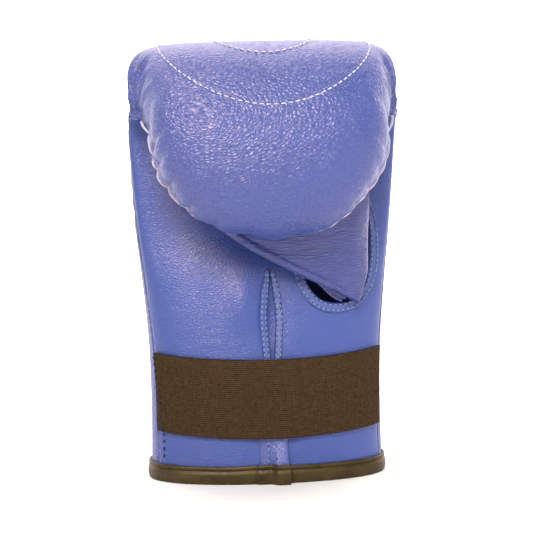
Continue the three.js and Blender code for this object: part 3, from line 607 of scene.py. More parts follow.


# Pinkish colour of the painted highlight on the pad's rolled rim
RIM_HIGHLIGHT_TONE = (0.75, 0.58, 0.62)
PULLED = (0.2, 0.6, 1.25)
PAD_VINYL = vinyl("pad_vinyl", (0.034, 0.074, 0.32), (0.044, 0.088, 0.37), 0.47, 0.0019, rim_highlight=RIM_HIGHLIGHT_TONE)
PALM_VINYL = vinyl("palm_vinyl", (0.026, 0.073, 0.32), (0.036, 0.088, 0.36), 0.47, 0.0015, 0.5, shine=0.75)
# Darker than the palm's vinyl, as painted shade for the fold hanging under the pad, with its own stretched
# grain
SHADED_FOLD_VINYL = vinyl("shaded_fold_vinyl", (0.026, 0.054, 0.26), (0.036, 0.070, 0.31), 0.40, 0.0016, 1.1, PULLED)
HEM_VINYL = vinyl("hem_vinyl", (0.042, 0.088, 0.34), (0.054, 0.106, 0.39), 0.46, 0.0013, 0.5)
# Whitish pink, partly the raw edge's pale backing and partly painted highlight
EDGE_HIGHLIGHT_VINYL = vinyl("raw_edge_highlight", (0.45, 0.40, 0.55), (0.72, 0.62, 0.72), 0.6, 0.0008, 0.4)
ELASTIC = woven("brown_elastic", (0.028, 0.016, 0.0075), (0.080, 0.048, 0.024), 1.05)
TAPE = tape("binding_tape", (0.012, 0.008, 0.002), (0.066, 0.044, 0.012), 0.5)
WHITE_THREAD = thread("white_thread", (0.85, 0.84, 0.86))
BLUE_THREAD = thread("blue_thread", (0.20, 0.34, 0.66))
# Dark navy: real thread in the seam stitching, and painted shade in the needle holes
DARK_THREAD_AND_HOLE_SHADE = thread("dark_thread_and_hole_shade", (0.006, 0.012, 0.07))


def finish_piece(obj, material, nodes=()):
    obj.data.materials.clear()
    obj.data.materials.append(material)
    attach(obj, "root")
    if nodes:
        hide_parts(*nodes)
    return obj


# ---- Padded shell
def enlarge(grid, rows, columns):
    """A grid of vectors spread over more rows and columns."""
    i = np.linspace(0, grid.shape[0] - 1, rows)
    j = np.linspace(0, grid.shape[1] - 1, columns)
    i0, j0 = np.minimum(i.astype(int), grid.shape[0] - 2), np.minimum(j.astype(int), grid.shape[1] - 2)
    fi, fj = (i - i0)[:, None, None], (j - j0)[None, :, None]
    top = lerp(grid[i0][:, j0], grid[i0][:, j0 + 1], fj)
    low = lerp(grid[i0 + 1][:, j0], grid[i0 + 1][:, j0 + 1], fj)
    return lerp(top, low, fi)


CLOTH_FIST, CLOTH_FINGER, CLOTH_COLUMNS = 53, 33, 101
CLOTH_FRAMES = 20
CLOTH_LIMIT = 3.2
CLOTH_SPARE = 0.25
SPARE_REACH = 14
CLOTH_SETTINGS = dict(
    quality=5,
    mass=0.002,
    tension_stiffness=20,
    compression_stiffness=12,
    shear_stiffness=6,
    bending_stiffness=0.02,
    air_damping=2,
    vertex_group_mass="held",
    use_pressure=True,
    uniform_pressure_force=30,
)
UPWARD_ROW = 20
PUCKER_DEPTH = 0.5
PUCKER_RADIUS = 52
PUCKER_PITCH = 6.5
PUCKER_DRIFT = 31


def puckered(grid, near):
    """Small puckers run in from the seam, and the simulation lets them grow or fall."""
    place = np.arctan2(grid[..., 2] - FINGER_PAD_TOP, grid[..., 0]) * PUCKER_RADIUS
    drift = 1.3 * np.sin(2 * math.pi * place / PUCKER_DRIFT)
    wave = np.sin(2 * math.pi * place / PUCKER_PITCH + drift)
    normal = grid_normals(grid)
    normal *= np.sign(normal[UPWARD_ROW, grid.shape[1] // 2, 2])
    at_tip = 0.85 * np.exp(-(((round_angle(grid) - 92) / 34) ** 2))
    height = PUCKER_DEPTH * wave * (1 - at_tip) * ease(near, 0, 3) * (1 - ease(near, 4, 13))
    return grid + normal * height[..., None]


def settle_skin():
    """How far each point of the fist's skin moves when it is blown up between its gathered seams."""
    plain = shell_grid(False, 0, CLOTH_FIST, CLOTH_FINGER, CLOTH_COLUMNS)
    rest = shell_grid(False, 0, CLOTH_FIST, CLOTH_FINGER, CLOTH_COLUMNS, gathered=0)
    rows, columns = plain.shape[:2]
    row, column = np.indices((rows, columns))
    near = np.minimum(np.minimum(column, columns - 1 - column), rows - 1 - row)
    # Spare cloth along the seam, which the gathers take up
    centre = rest.mean(axis=(0, 1))
    rest = rest + (rest - centre) * (CLOTH_SPARE * (1 - ease(near, 0, SPARE_REACH)))[..., None]
    faces = grid_faces(rows, columns)[:, [0, 3, 2, 1]]
    skin = make_object("skin", puckered(plain, near).reshape(-1, 3), faces)
    if skin.data.polygons[UPWARD_ROW * (columns - 1) + columns // 2].normal.z < 0:
        skin.data.flip_normals()
    skin.shape_key_add(name="Basis")
    key = skin.shape_key_add(name="cut")
    key.data.foreach_set("co", to_row(rest).ravel())
    held = skin.vertex_groups.new(name="held")
    weight = np.maximum(1 - ease(near, 0.5, 3), 1 - ease(row, 3, 9)).ravel()
    for k in np.nonzero(weight > 0.01)[0]:
        held.add([int(k)], float(weight[k]), "REPLACE")
    cloth = skin.modifiers.new("cloth", "CLOTH")
    for name, value in CLOTH_SETTINGS.items():
        setattr(cloth.settings, name, value)
    cloth.settings.rest_shape_key = key
    cloth.settings.effector_weights.gravity = 0
    cloth.collision_settings.use_collision = False
    cloth.collision_settings.use_self_collision = False
    cloth.point_cache.frame_start = 1
    cloth.point_cache.frame_end = CLOTH_FRAMES
    scene = bpy.context.scene
    for k in range(1, CLOTH_FRAMES + 1):
        scene.frame_set(k)
    graph = bpy.context.evaluated_depsgraph_get()
    made = skin.evaluated_get(graph).to_mesh()
    where = np.empty(len(made.vertices) * 3)
    made.vertices.foreach_get("co", where)
    scene.frame_set(1)
    discard(skin)
    moved = where.reshape(rows, columns, 3) * MM - to_row(plain) * MM
    length = np.linalg.norm(moved, axis=2, keepdims=True)
    return moved * np.minimum(1, CLOTH_LIMIT / np.maximum(length, 1e-6))


# Pleats fan out from the crook up the side walls of the fist, in degrees from straight ahead
PLEATS = table(
    "at deep wide",
    (34, 1.6, 5),
    (55, 2.2, 5),
    (78, 2.4, 6),
    (104, 2.2, 7),
    (132, 1.6, 8),
)
PLEAT_SINK = 1.7


def pleated(grid):
    """The fist's skin with its side walls pushed out in sharp ridges and pulled in between them."""
    crook = Section(float(CROOK_TOP))
    y, z = grid[..., 1] - crook.axis_y, grid[..., 2] - crook.axis_z
    reach = np.hypot(y, z)
    angle = np.degrees(np.arctan2(z, -y))
    on_side = ease(np.abs(grid[..., 0]), 55, 66)
    fade = ease(reach, 1, 7) * (1 - ease(reach, 24, 46)) * on_side
    height = np.full_like(angle, -PLEAT_SINK)
    for p in PLEATS:
        d = np.abs(angle - p["at"]) / p["wide"]
        height += p["deep"] * (np.exp(-1.6 * d) - 0.5 * np.exp(-((d - 1.2) ** 2) * 4))
    moved = grid.copy()
    moved[..., 0] += np.sign(grid[..., 0]) * height * fade
    return moved


ROLL = 1.5
ROLL_REACH = 12

# How far the rim is drawn in, in degrees round the finger pad from its upper left corner
TUCKS = table(
    "at tuck",
    (-40, 0.3),
    (-12, 2.2),
    (12, 3.1),
    (38, 4.6),
    (60, 5.0),
    (78, 4.4),
    (90, 2.2),
    (101, 3.2),
    (118, 2.4),
    (138, 3.8),
    (155, 3.0),
    (170, 0.9),
    (190, 0),
)
TUCK_REACH = 26


def round_angle(points):
    """Degrees round the finger pad, from its upper left corner past its tip."""
    down = (FINGER_PAD_TOP - points[..., 2]) / FINGER_LENGTH
    return np.degrees(np.arctan2(down, -2 * points[..., 0] / FINGER_PAD_WIDTH))


def tucked(points, weight):
    """Points moved towards the middle of the finger pad, by what the rim is drawn in there."""
    at = round_angle(points)
    tuck = look_up(TUCKS, "at", "tuck", np.where(at < -90, at + 360, at))
    way = np.radians(at)
    inward = np.stack([np.cos(way) / FINGER_PAD_WIDTH * 2, 0 * way, np.sin(way) / FINGER_LENGTH], -1)
    return points + unit(inward) * (tuck * weight)[..., None]


def seam_distance(grid):
    across = np.linalg.norm(np.diff(grid, axis=1), axis=2)
    from_left = np.concatenate([np.zeros((len(grid), 1)), np.cumsum(across, axis=1)], axis=1)
    from_side = np.minimum(from_left, from_left[:, -1:] - from_left)
    below = np.linalg.norm(np.diff(grid, axis=0), axis=2)
    from_end = np.concatenate([np.cumsum(below[::-1], axis=0)[::-1], np.zeros((1, grid.shape[1]))])
    return np.minimum(from_side, from_end)


def drawn_in(grid, top_row):
    rows = np.arange(len(grid))[:, None]
    return tucked(grid, (1 - ease(seam_distance(grid), 0, TUCK_REACH)) * ease(rows, top_row, top_row + 30))


def rolled(grid, top_row):
    """The pad bulges past its seam, so that the seam lies back under a soft roll."""
    normal = grid_normals(grid)
    if normal[top_row + 5, grid.shape[1] // 2] @ np.array([0, -0.2, 1]) < 0:
        normal = -normal
    swell = np.sin(math.pi * np.clip(seam_distance(grid) / ROLL_REACH, 0, 1)) ** 1.3
    rows = np.arange(len(grid))[:, None]
    return grid + normal * (ROLL * swell * ease(rows, top_row, top_row + 40))[..., None]


fist = slice(HAND_ROWS - 1, None)
OUTER[fist] += enlarge(settle_skin(), OUTER[fist].shape[0], SHELL_COLUMNS)
crook_share = (CROOK_TOP - HAND_END) / (FINGER_START - HAND_END)
CROOK_ROW = HAND_ROWS - 1 + int(round(crook_share * (FIST_ROWS - 1)))
OUTER = drawn_in(rolled(pleated(OUTER), CROOK_ROW + 22), CROOK_ROW - 4)
INNER = drawn_in(INNER, CROOK_ROW - 4)
shell = slab("shell", OUTER, INNER)
# Painted highlight: the rolled rim is painted paler and pinker at both sides of the tip, for the bright
# floor's reflection there
RIM_HIGHLIGHT_FROM_SEAM = 3.0
RIM_HIGHLIGHT_REACH = 3.6
at = round_angle(OUTER)
left_side = ease(at, 8, 30) * (1 - 0.75 * ease(at, 66, 82))
right_side = 0.75 * ease(at, 98, 114) * (1 - ease(at, 150, 172))
past_crook = ease(np.arange(len(OUTER))[:, None], CROOK_ROW, CROOK_ROW + 30)
on_rim = np.exp(-(((seam_distance(OUTER) - RIM_HIGHLIGHT_FROM_SEAM) / RIM_HIGHLIGHT_REACH) ** 2))
rim_highlight = on_rim * np.clip(left_side + right_side, 0, 1) * past_crook
# The painted highlight's strength, kept as a point attribute
layer = shell.data.attributes.new("rim_highlight", "FLOAT", "POINT")
layer.data.foreach_set("value", np.concatenate([rim_highlight.ravel(), np.zeros(INNER[..., 0].size)]))
finish_piece(shell, PAD_VINYL, ["back_pad", "finger_pad"])


# ---- Palm panel
def palm_row(x, t):
    s = Section(t)
    out = -s.bulge * crown_share(np.abs(x) / s.half, s.power)
    return s.axis_y + s.out_y * out, s.axis_z + s.out_z * out


def palm_at(x, z, offset=0.0):
    """Points of the palm's outer face at x and height z, moved out along its normal."""
    x, z = np.broadcast_arrays(np.asarray(x, float), np.asarray(z, float))

    def bare(px, pz):
        low, high = np.zeros_like(px), np.full_like(px, CROOK_TOP)
        for _ in range(26):
            middle = (low + high) / 2
            below = palm_row(px, middle)[1] < pz
            low, high = np.where(below, middle, low), np.where(below, high, middle)
        y, _ = palm_row(px, (low + high) / 2)
        return np.stack([px, y - dent(px, pz), pz], -1)

    point = bare(x, z)
    step = 0.3
    across = bare(x + step, z) - bare(x - step, z)
    up = bare(x, z + step) - bare(x, np.maximum(0, z - step))
    return point + unit(np.cross(across, up)) * np.asarray(offset)[..., None]


DENTS = table("high x z wide tall", (-1.6, SLIT_CENTRE, 86, 7, 17), (2.6, -14, 95, 8.5, 14))


def dent(x, z):
    """How far the palm stands out past its plain form: it dips to the slit and swells beside it."""
    return sum(
        d["high"] * np.exp(-(((x - d["x"]) / d["wide"]) ** 2)) * np.exp(-(((z - d["z"]) / d["tall"]) ** 2))
        for d in DENTS
    )


def palm_edge(t):
    s = Section(t)
    at_seam = s.half - s.wrap - 2 * CLEARANCE
    over_shell = s.half - CLEARANCE
    return lerp(at_seam, over_shell, ease(t, HAND_END - 0.5, HAND_END + 1))


GAPE = table(
    "z open",
    (0, 0.35),
    (BAND_TOP, 0.35),
    (lerp(SLIT_TOP, BAND_TOP, 0.55), 1),
    (lerp(SLIT_TOP, BAND_TOP, 0.3), 0.55),
    (SLIT_TOP, 0),
)


def slit_edge(z, side):
    cut = UNDERFLAP_CUT * (1 - ease(z, BINDING_HEIGHT, BAND_BOTTOM)) if side < 0 else 0
    smooth = np.mean([look_up(GAPE, "z", "open", z + d) for d in np.linspace(-4, 4, 9)], axis=0)
    smooth = smooth * ease(SLIT_TOP - np.asarray(z, float), 0, 5)
    return SLIT_CENTRE - cut + side * SLIT_WIDTH / 2 * smooth


def thumb_outline(angle, margin):
    x = THUMB_CENTRE_X + (THUMB_WIDTH / 2 + margin) * rounded(np.cos(angle), THUMB_POWER)
    z = THUMB_CENTRE_Z + (THUMB_HEIGHT / 2 + margin) * rounded(np.sin(angle), THUMB_POWER)
    return x, z


CUT_FRONT, CUT_BACK = -80.0, 6.0


def cutter(name, x, z):
    """A prism along Y from an outline in x and z."""
    n = len(x)
    front = np.stack([x, np.full(n, CUT_FRONT), z], 1)
    back = np.stack([x, np.full(n, CUT_BACK), z], 1)
    i = np.arange(n)
    faces = [tuple(int(k) for k in i), tuple(int(k) for k in (i + n)[::-1])]
    faces += [(int(a), int((a + 1) % n), int((a + 1) % n + n), int(a + n)) for a in i]
    return make_object(name, np.concatenate([front, back]), [f[::-1] for f in faces], smooth=False)


def cut_away(obj, *cutters):
    for tool in cutters:
        mod = obj.modifiers.new("cut", "BOOLEAN")
        mod.operation = "DIFFERENCE"
        mod.solver = "EXACT"
        mod.object = tool
    graph = bpy.context.evaluated_depsgraph_get()
    made = bpy.data.meshes.new_from_object(obj.evaluated_get(graph))
    obj.modifiers.clear()
    old = obj.data
    obj.data = made
    bpy.data.meshes.remove(old)
    for tool in cutters:
        discard(tool)


def palm_grid(rows, columns):
    made = []
    for t in np.linspace(CLOTH_BOTTOM_ROW, CROOK_TOP - 0.05, rows):
        edge = palm_edge(t)
        x = edge * np.sin(np.radians(np.linspace(-90, 90, FINE)))
        y, z = palm_row(x, t)
        over = (SHEET - CLEARANCE) * ease(t, HAND_END - 2, HAND_END) * ease(np.abs(x), edge - 9, edge)
        made.append(resample(np.stack([x, y - dent(x, z) - over, z], 1), columns))
    return np.array(made)


PALM = palm_grid(120, 90)
palm = slab("palm", PALM, PALM - SHEET * front_normals(PALM, 10, 45))
heights = np.linspace(0, SLIT_TOP, 40)
slit_x = np.concatenate([slit_edge(heights, 1), slit_edge(heights[::-1][1:], -1)])
slit_z = np.concatenate([heights, heights[::-1][1:]])
slit_z[slit_z < 0.01] = -2
turn = np.linspace(0, 2 * math.pi, 72, endpoint=False)
cut_away(palm, cutter("slit_tool", slit_x, slit_z), cutter("thumb_tool", *thumb_outline(turn, 0)))
finish_piece(palm, PALM_VINYL, ["palm_panel"])


def strip(name, x, z, base, thickness, puckers=0):
    """A strip laid on the palm's face, with rounded edges."""
    u = np.linspace(-1, 1, x.shape[1])
    rounding = np.sqrt(np.clip(1 - np.abs(u) ** 8, 0.08, 1))[None, :]
    front = palm_at(x, z, base + (thickness * rounding + puckers))
    return slab(name, front, palm_at(x, z, base))


# ---- Slit hems, flap and gusset
def hem_width(z):
    return HEM_WIDTH * np.sqrt(np.clip((SLIT_TOP + CLEARANCE - z) / HEM_POINT, 0, 1))


LIFT_START = SLIT_CENTRE - UNDERFLAP_CUT + 2 * CLEARANCE
LIFT_END = UNDERLAP_START - CLEARANCE


def flap_right(z):
    return lerp(slit_edge(z, -1), FLAP_LAP, 1 - ease(z, BAND_BOTTOM, BAND_TOP))


def flap_lift(x, z):
    return FLAP_LIFT * ease(x, LIFT_START, LIFT_END) * (1 - ease(z, BINDING_HEIGHT + CLEARANCE, BAND_BOTTOM))


def left_edge(z):
    return np.minimum(slit_edge(z, -1), SLIT_CENTRE - 2 * CLEARANCE)


def right_edge(z):
    return np.maximum(slit_edge(z, 1), SLIT_CENTRE + CLEARANCE)


def hem_grid(z, left, width):
    """x and z of the points across a hem."""
    x = left[:, None] + width[:, None] * across
    return x, np.repeat(z[:, None], len(across), 1)


def ripple(z, phase):
    """Small waves along a hem, which grow towards both its edges."""
    return RIPPLE * np.sin(z * RIPPLE_TURN + phase) * np.abs(2 * across - 1) ** 2


RIPPLE = 0.12
RIPPLE_TURN = 2.2
across = np.linspace(0, 1, 21)
z = np.linspace(CLOTH_BOTTOM, HEM_TOP, 150)
left = lerp(FLAP_START, left_edge(z) - hem_width(z), ease(z, BAND_BOTTOM, BAND_TOP))
right = np.minimum(flap_right(z), np.where(z > BAND_TOP, SLIT_CENTRE - CLEARANCE, FLAP_LAP))
hem_x, hem_z = hem_grid(z, left, right - left)
run_out = lerp(ease(across, -0.02, 0.55)[None, :], 1, ease(z, BAND_BOTTOM, BAND_TOP)[:, None])
hem_rise = CLEARANCE * (0.1 + 0.9 * run_out) + flap_lift(hem_x, hem_z)
thickness = HEM_THICKNESS * (0.04 + 0.96 * run_out)
hem_left = strip("hem_left", hem_x, hem_z, hem_rise, thickness, ripple(hem_z, 0) * run_out)
finish_piece(hem_left, HEM_VINYL, ["slit_hem_left"])

z = np.linspace(BAND_TOP - 3, HEM_TOP, 90)
hem_x, hem_z = hem_grid(z, np.maximum(right_edge(z), flap_right(z) + 2 * CLEARANCE), hem_width(z))
hem_right = strip("hem_right", hem_x, hem_z, CLEARANCE, HEM_THICKNESS, ripple(hem_z, 1))
finish_piece(hem_right, HEM_VINYL, ["slit_hem_right"])

reach = SLIT_WIDTH / 2 + HEM_WIDTH
x = np.linspace(SLIT_CENTRE - reach, SLIT_CENTRE + reach, 30)
z = np.linspace(BAND_BOTTOM + BAND_HEIGHT / 2, SLIT_TOP + HEM_WIDTH, 60)
x, z = np.meshgrid(x, z)
gusset = strip("gusset", x, z, -SHEET - CLEARANCE - HEM_THICKNESS, HEM_THICKNESS)
finish_piece(gusset, PALM_VINYL, ["slit_gusset"])

# ---- Thumb hem, joined at its top, under the fold
RING_LENGTH = 150
RING_RIPPLE = 2.9
turn = np.linspace(0.5 * math.pi, 2.5 * math.pi, 220)
margins = np.linspace(CLEARANCE, THUMB_HEM_WIDTH, 15)
ring = [thumb_outline(turn, m) for m in margins]
ring_x, ring_z = np.stack([r[0] for r in ring], 1), np.stack([r[1] for r in ring], 1)
wave = np.sin(turn * RING_LENGTH / RING_RIPPLE / 2)[:, None] * 0.16 * np.linspace(0.1, 1, 15) ** 2
thumb_hem = strip("thumb_edge", ring_x, ring_z, CLEARANCE, HEM_THICKNESS, wave)
finish_piece(thumb_hem, HEM_VINYL, ["thumb_hem"])

# ---- Elastic band
rows = []
for height in np.linspace(BAND_BOTTOM, BAND_TOP, 41):
    edge = palm_edge(float(row_at(height, 4))) - CLEARANCE
    share = np.sin(np.radians(np.linspace(-90, 90, 141)))
    rows.append(np.stack([edge * share, height + BAND_RISE * share * share], 1))
x, z = np.moveaxis(np.array(rows), -1, 0)
side = np.maximum(np.maximum(SLIT_CENTRE - SLIT_WIDTH / 2 - HEM_WIDTH - x, x - FLAP_LAP), 0)
over = CLEARANCE + (HEM_THICKNESS + CLEARANCE) * (1 - ease(side, HEM_THICKNESS, BAND_EASE))
elastic = slab("elastic", palm_at(x, z, over + BAND_THICKNESS), palm_at(x, z, over))
finish_piece(elastic, ELASTIC, ["elastic_band"])


# ---- Cuff binding
def cuff_at(angle, z, offset):
    s = Section(row_at(np.maximum(z, 0), 2))

    def bare(a):
        x = s.half * rounded(np.cos(a), s.power)
        y = np.where(np.sin(a) >= 0, s.depth, -s.bulge) * np.abs(np.sin(a)) ** (2 / s.power)
        return np.stack([x, y + s.axis_y, z], -1)

    step = 0.02
    along = unit(bare(angle + step) - bare(angle - step))
    side = np.stack([along[..., 1], -along[..., 0], np.zeros_like(along[..., 0])], -1)
    return bare(angle) + side * np.asarray(offset)[..., None]


BASE = Section(0.0)


def front_angle(x):
    return 1.5 * math.pi + np.sign(x) * np.arcsin((np.abs(x) / BASE.half) ** (BASE.power / 2))


# The tape runs once round the hem and laps. It has closer columns from its start to FINE_END,
# and it is thick enough for the padding, from the seam on, as far as SHELL_EASE says
FINE_END = -16
SHELL_EASE = 0.06, 0.3
start, end = float(front_angle(BINDING_LAP)), float(front_angle(UNDERLAP_START)) - 2 * math.pi
fine = np.linspace(start, float(front_angle(FINE_END)), 60)
angles = np.concatenate([fine, np.linspace(fine[-1], end, 260)[1:]])
seam = float(np.arccos((1 - BASE.wrap / BASE.half) ** (BASE.power / 2)))
past_left = ease(angles, math.pi + seam + SHELL_EASE[0], math.pi + seam + SHELL_EASE[1])
in_shell = ease(angles, -seam - SHELL_EASE[1], -seam - SHELL_EASE[0]) * (1 - past_left)
wall = lerp(SHEET, max(float(BASE.pad), SEAM_WALL) + 0.6, in_shell)
place = cuff_at(angles, np.zeros_like(angles), np.zeros_like(angles))[:, 0]
on_front = angles > math.pi
on_flap = np.where(on_front, ease(place, FLAP_START - HEM_WIDTH, FLAP_START), 0)
lift = np.where(on_front, flap_lift(place, 0), 0)
past = np.where(on_front, ease(place, LIFT_START, lerp(LIFT_START, LIFT_END, 1 / 3)), 0)
outside = CLEARANCE + on_flap * (HEM_THICKNESS + CLEARANCE) + lift
inside = lerp(-wall - CLEARANCE, 0, past) + lift
# Across the tape: how far out it stands, as a share of its swell, and how high
TAPE_PROFILE = table(
    "side out up",
    (1, -0.3, 1.0),
    (1, 0.5, 0.98),
    (1, 0.9, 0.9),
    (1, 0.7, 0.82),
    (1, -0.9, 0.765),
    (1, -0.9, 0.74),
    (1, 0.8, 0.68),
    (1, 1.4, 0.55),
    (1, 1.5, 0.38),
    (1, 1.1, 0.2),
    (1, 0.2, 0.07),
    (1, -1.0, 0.0),
    (-1, -1.0, 0.0),
    (-1, 0.0, 0.1),
    (-1, 0.0, 0.3),
    (-1, 0.0, BINDING_INSIDE_HEIGHT / BINDING_HEIGHT),
)
# The tape climbs towards its lap
LAP_RISE = 0.14
LAP_RISE_START = -26
climb = np.where(on_front, ease(place, LAP_RISE_START, BINDING_LAP), 0)
tall = BINDING_HEIGHT * (1 + LAP_RISE * climb)


def tape_grid(thick):
    columns = []
    for row in TAPE_PROFILE:
        stands = BINDING_WALL + row["out"] * BINDING_SWELL if thick else 0
        if row["side"] > 0:
            offset, height = outside + stands, row["up"] * tall
        else:
            offset, height = inside - stands, row["up"] * BINDING_HEIGHT
        floor = 0 if thick else BINDING_WALL
        columns.append(cuff_at(angles, np.maximum(height, floor) + 0 * angles, offset))
    return np.stack(columns, 1)


binding = slab("binding", tape_grid(True), tape_grid(False))
finish_piece(binding, TAPE, ["cuff_binding"])


# ---- Finger panel and its hanging fold
def pad_outline(x):
    share = np.minimum(1, np.abs(x) / (FINGER_PAD_WIDTH / 2))
    return FINGER_PAD_TOP - FINGER_LENGTH * np.sqrt(1 - share * share)


PANEL_MARGIN = 1.5


def panel_face(out, columns=60):
    """The panel's face, drawn in with the pad's rim."""
    rows = []
    for t in np.linspace(CROOK_TOP + 0.05, FINGER_START, 24):
        s = Section(t)
        edge = s.half - PANEL_MARGIN - GATHER_PULL
        rows.append(s.point(np.linspace(-edge, edge, columns), out))
    u = np.linspace(-1, 1, columns)
    for v in np.linspace(0, 1, 30)[1:]:
        share = 1 - (PANEL_MARGIN + GATHER_PULL) / FINGER_LENGTH
        e = v * np.sqrt(1 - u * u / 2) * share
        s = Section(FINGER_START + e * (FINGER_END - FINGER_START))
        rows.append(s.point(u * np.sqrt(1 - v * v / 2) * (s.half - PANEL_MARGIN - GATHER_PULL), out))
    rows = np.array(rows)
    down = (FINGER_PAD_TOP - rows[..., 2]) / FINGER_LENGTH
    return tucked(rows, ease(np.hypot(2 * rows[..., 0] / FINGER_PAD_WIDTH, np.maximum(0, down)), 0.4, 0.9))


taut = slab("finger_lining", panel_face(-CLEARANCE), panel_face(-CLEARANCE - SHEET))
finish_piece(taut, PALM_VINYL, ["finger_panel"])

FOLD_LINE = table(
    "along forward",
    (0, 0.9),
    (0.36, 0.9),
    (0.6, 0.87),
    (0.79, 0.79),
    (0.91, 0.74),
    (1, 0.64),
)


def smooth_line(points, n):
    """A smooth curve through a few points, as n points at equal distances."""
    points = np.asarray(points, float)
    padded = np.concatenate([[2 * points[0] - points[1]], points, [2 * points[-1] - points[-2]]])
    f = np.linspace(0, 1, 12, endpoint=False)[:, None]
    made = []
    for k in range(len(points) - 1):
        a, b, c, d = padded[k : k + 4]
        bend, twist = 2 * a - 5 * b + 4 * c - d, 3 * b - a - 3 * c + d
        made.append(0.5 * (2 * b + (c - a) * f + bend * f**2 + twist * f**3))
    made.append(points[-1:])
    return resample(np.concatenate(made), n)


def fold_bottom(x):
    """The height of the fold's rolled edge, which falls steeply at first."""
    f = (x - FOLD_START_X) / (FOLD_TIP_X - FOLD_START_X)
    return lerp(FOLD_START_Z, FOLD_TIP_Z, f) - FOLD_SAG * f * (1 - f) ** 2


def fold_middle(along):
    """How far in front of the hand the fold hangs."""
    return -PANEL_REACH * look_up(FOLD_LINE, "along", "forward", along)


def fold_grid(columns, n):
    gap = (SHEET + FOLD_GAP) / 2
    lines = []
    for along in np.linspace(0, 1, columns):
        x = lerp(FOLD_START_X, FOLD_EDGE_X, along)
        rim = pad_outline(x) + GATHER_PULL + PANEL_MARGIN + FOLD_OVERLAP
        rising = lerp(FOLD_TIP_Z, FOLD_EDGE_Z, (x - FOLD_TIP_X) / (FOLD_EDGE_X - FOLD_TIP_X))
        bottom = fold_bottom(x) if x < FOLD_TIP_X else rising
        middle = fold_middle(along)
        drop = (FINGER_PAD_TOP - pad_outline(x)) / FINGER_LENGTH
        seam_y = float(Section(lerp(FINGER_START, FINGER_END, drop)).axis_y) + CLEARANCE + SHEET / 2
        here = gap * math.sqrt(max(0.02, 1 - max(0, (along - 0.93) / 0.07) ** 2))
        lip = FOLD_LIP * (1 - float(ease(along, 0.8, 0.92)))
        points = [
            [x, lerp(seam_y, middle - here, float(ease(f, 0, 0.8))), lerp(rim, bottom + here, f)]
            for f in (0, 0.2, 0.4, 0.6)
        ]
        points.append([x, middle - here + lip / 2, bottom + here + 3])
        points.append([x, middle - here - lip, bottom + here + 0.6])
        points.append([x, middle - lip, bottom])
        points += [
            [x, lerp(seam_y, middle + here, float(ease(f, 0, 0.35))), lerp(rim + 3, bottom + here, f)]
            for f in (0.92, 0.75, 0.5, 0.25, 0)
        ]
        lines.append(smooth_line(points, n))
    return np.stack(lines, 1)


FOLD = fold_grid(110, 90)
FOLD_NORMAL = front_normals(FOLD, 10, 50)
u = np.linspace(0, 1, FOLD.shape[1])[None, :]
v = np.linspace(0, 1, FOLD.shape[0])[:, None]
wrinkle = 0.25 * np.sin(2 * math.pi * (7 * v + 1.4 * u)) * np.sin(math.pi * u)
wrinkle = wrinkle * np.clip(1 - 2 * v, 0, 1) ** 0.5
FOLD = FOLD + FOLD_NORMAL * wrinkle[..., None]
fold = slab("finger_fold", FOLD + FOLD_NORMAL * SHEET / 2, FOLD - FOLD_NORMAL * SHEET / 2)
finish_piece(fold, SHADED_FOLD_VINYL)


# Two plies of the seam's allowance show under the fold's edge
PLIES = table("drop reach behind", (2.6, 0.87, 1.9), (5.0, 0.85, 3.4))
PLY_START = 0.6
PLY_THICKNESS = 1.1
plies = []
for k, ply in enumerate(PLIES):
    along = np.linspace(PLY_START, ply["reach"], 40)
    ending = 1 - ease(along, ply["reach"] - 0.02, ply["reach"] + 0.002)
    tuck = ease(along, PLY_START, 0.8) * np.sqrt(ending)
    x = lerp(FOLD_START_X, FOLD_EDGE_X, along)
    y = fold_middle(along) + ply["behind"]
    bottom = fold_bottom(x) - ply["drop"] * tuck + 0.6 * (1 - tuck)
    grid = np.stack([np.stack([x, y, bottom + up], 1) for up in np.linspace(0, 9, 8)])
    plies.append(slab("fold_ply_%d" % (k + 1), grid, grid + np.array([0, PLY_THICKNESS, 0])))
    finish_piece(plies[-1], SHADED_FOLD_VINYL)


# ---- Stitches
def tube_faces(first, rings, sides):
    """Faces of a closed tube, whose points are numbered ring by ring from first."""
    faces = []
    for a in range(first, first + (rings - 1) * sides, sides):
        for j in range(sides):
            k = (j + 1) % sides
            faces.append((a + j, a + k, a + sides + k, a + sides + j))
    last = first + (rings - 1) * sides
    return faces + [tuple(range(first, first + sides))[::-1], tuple(range(last, last + sides))]


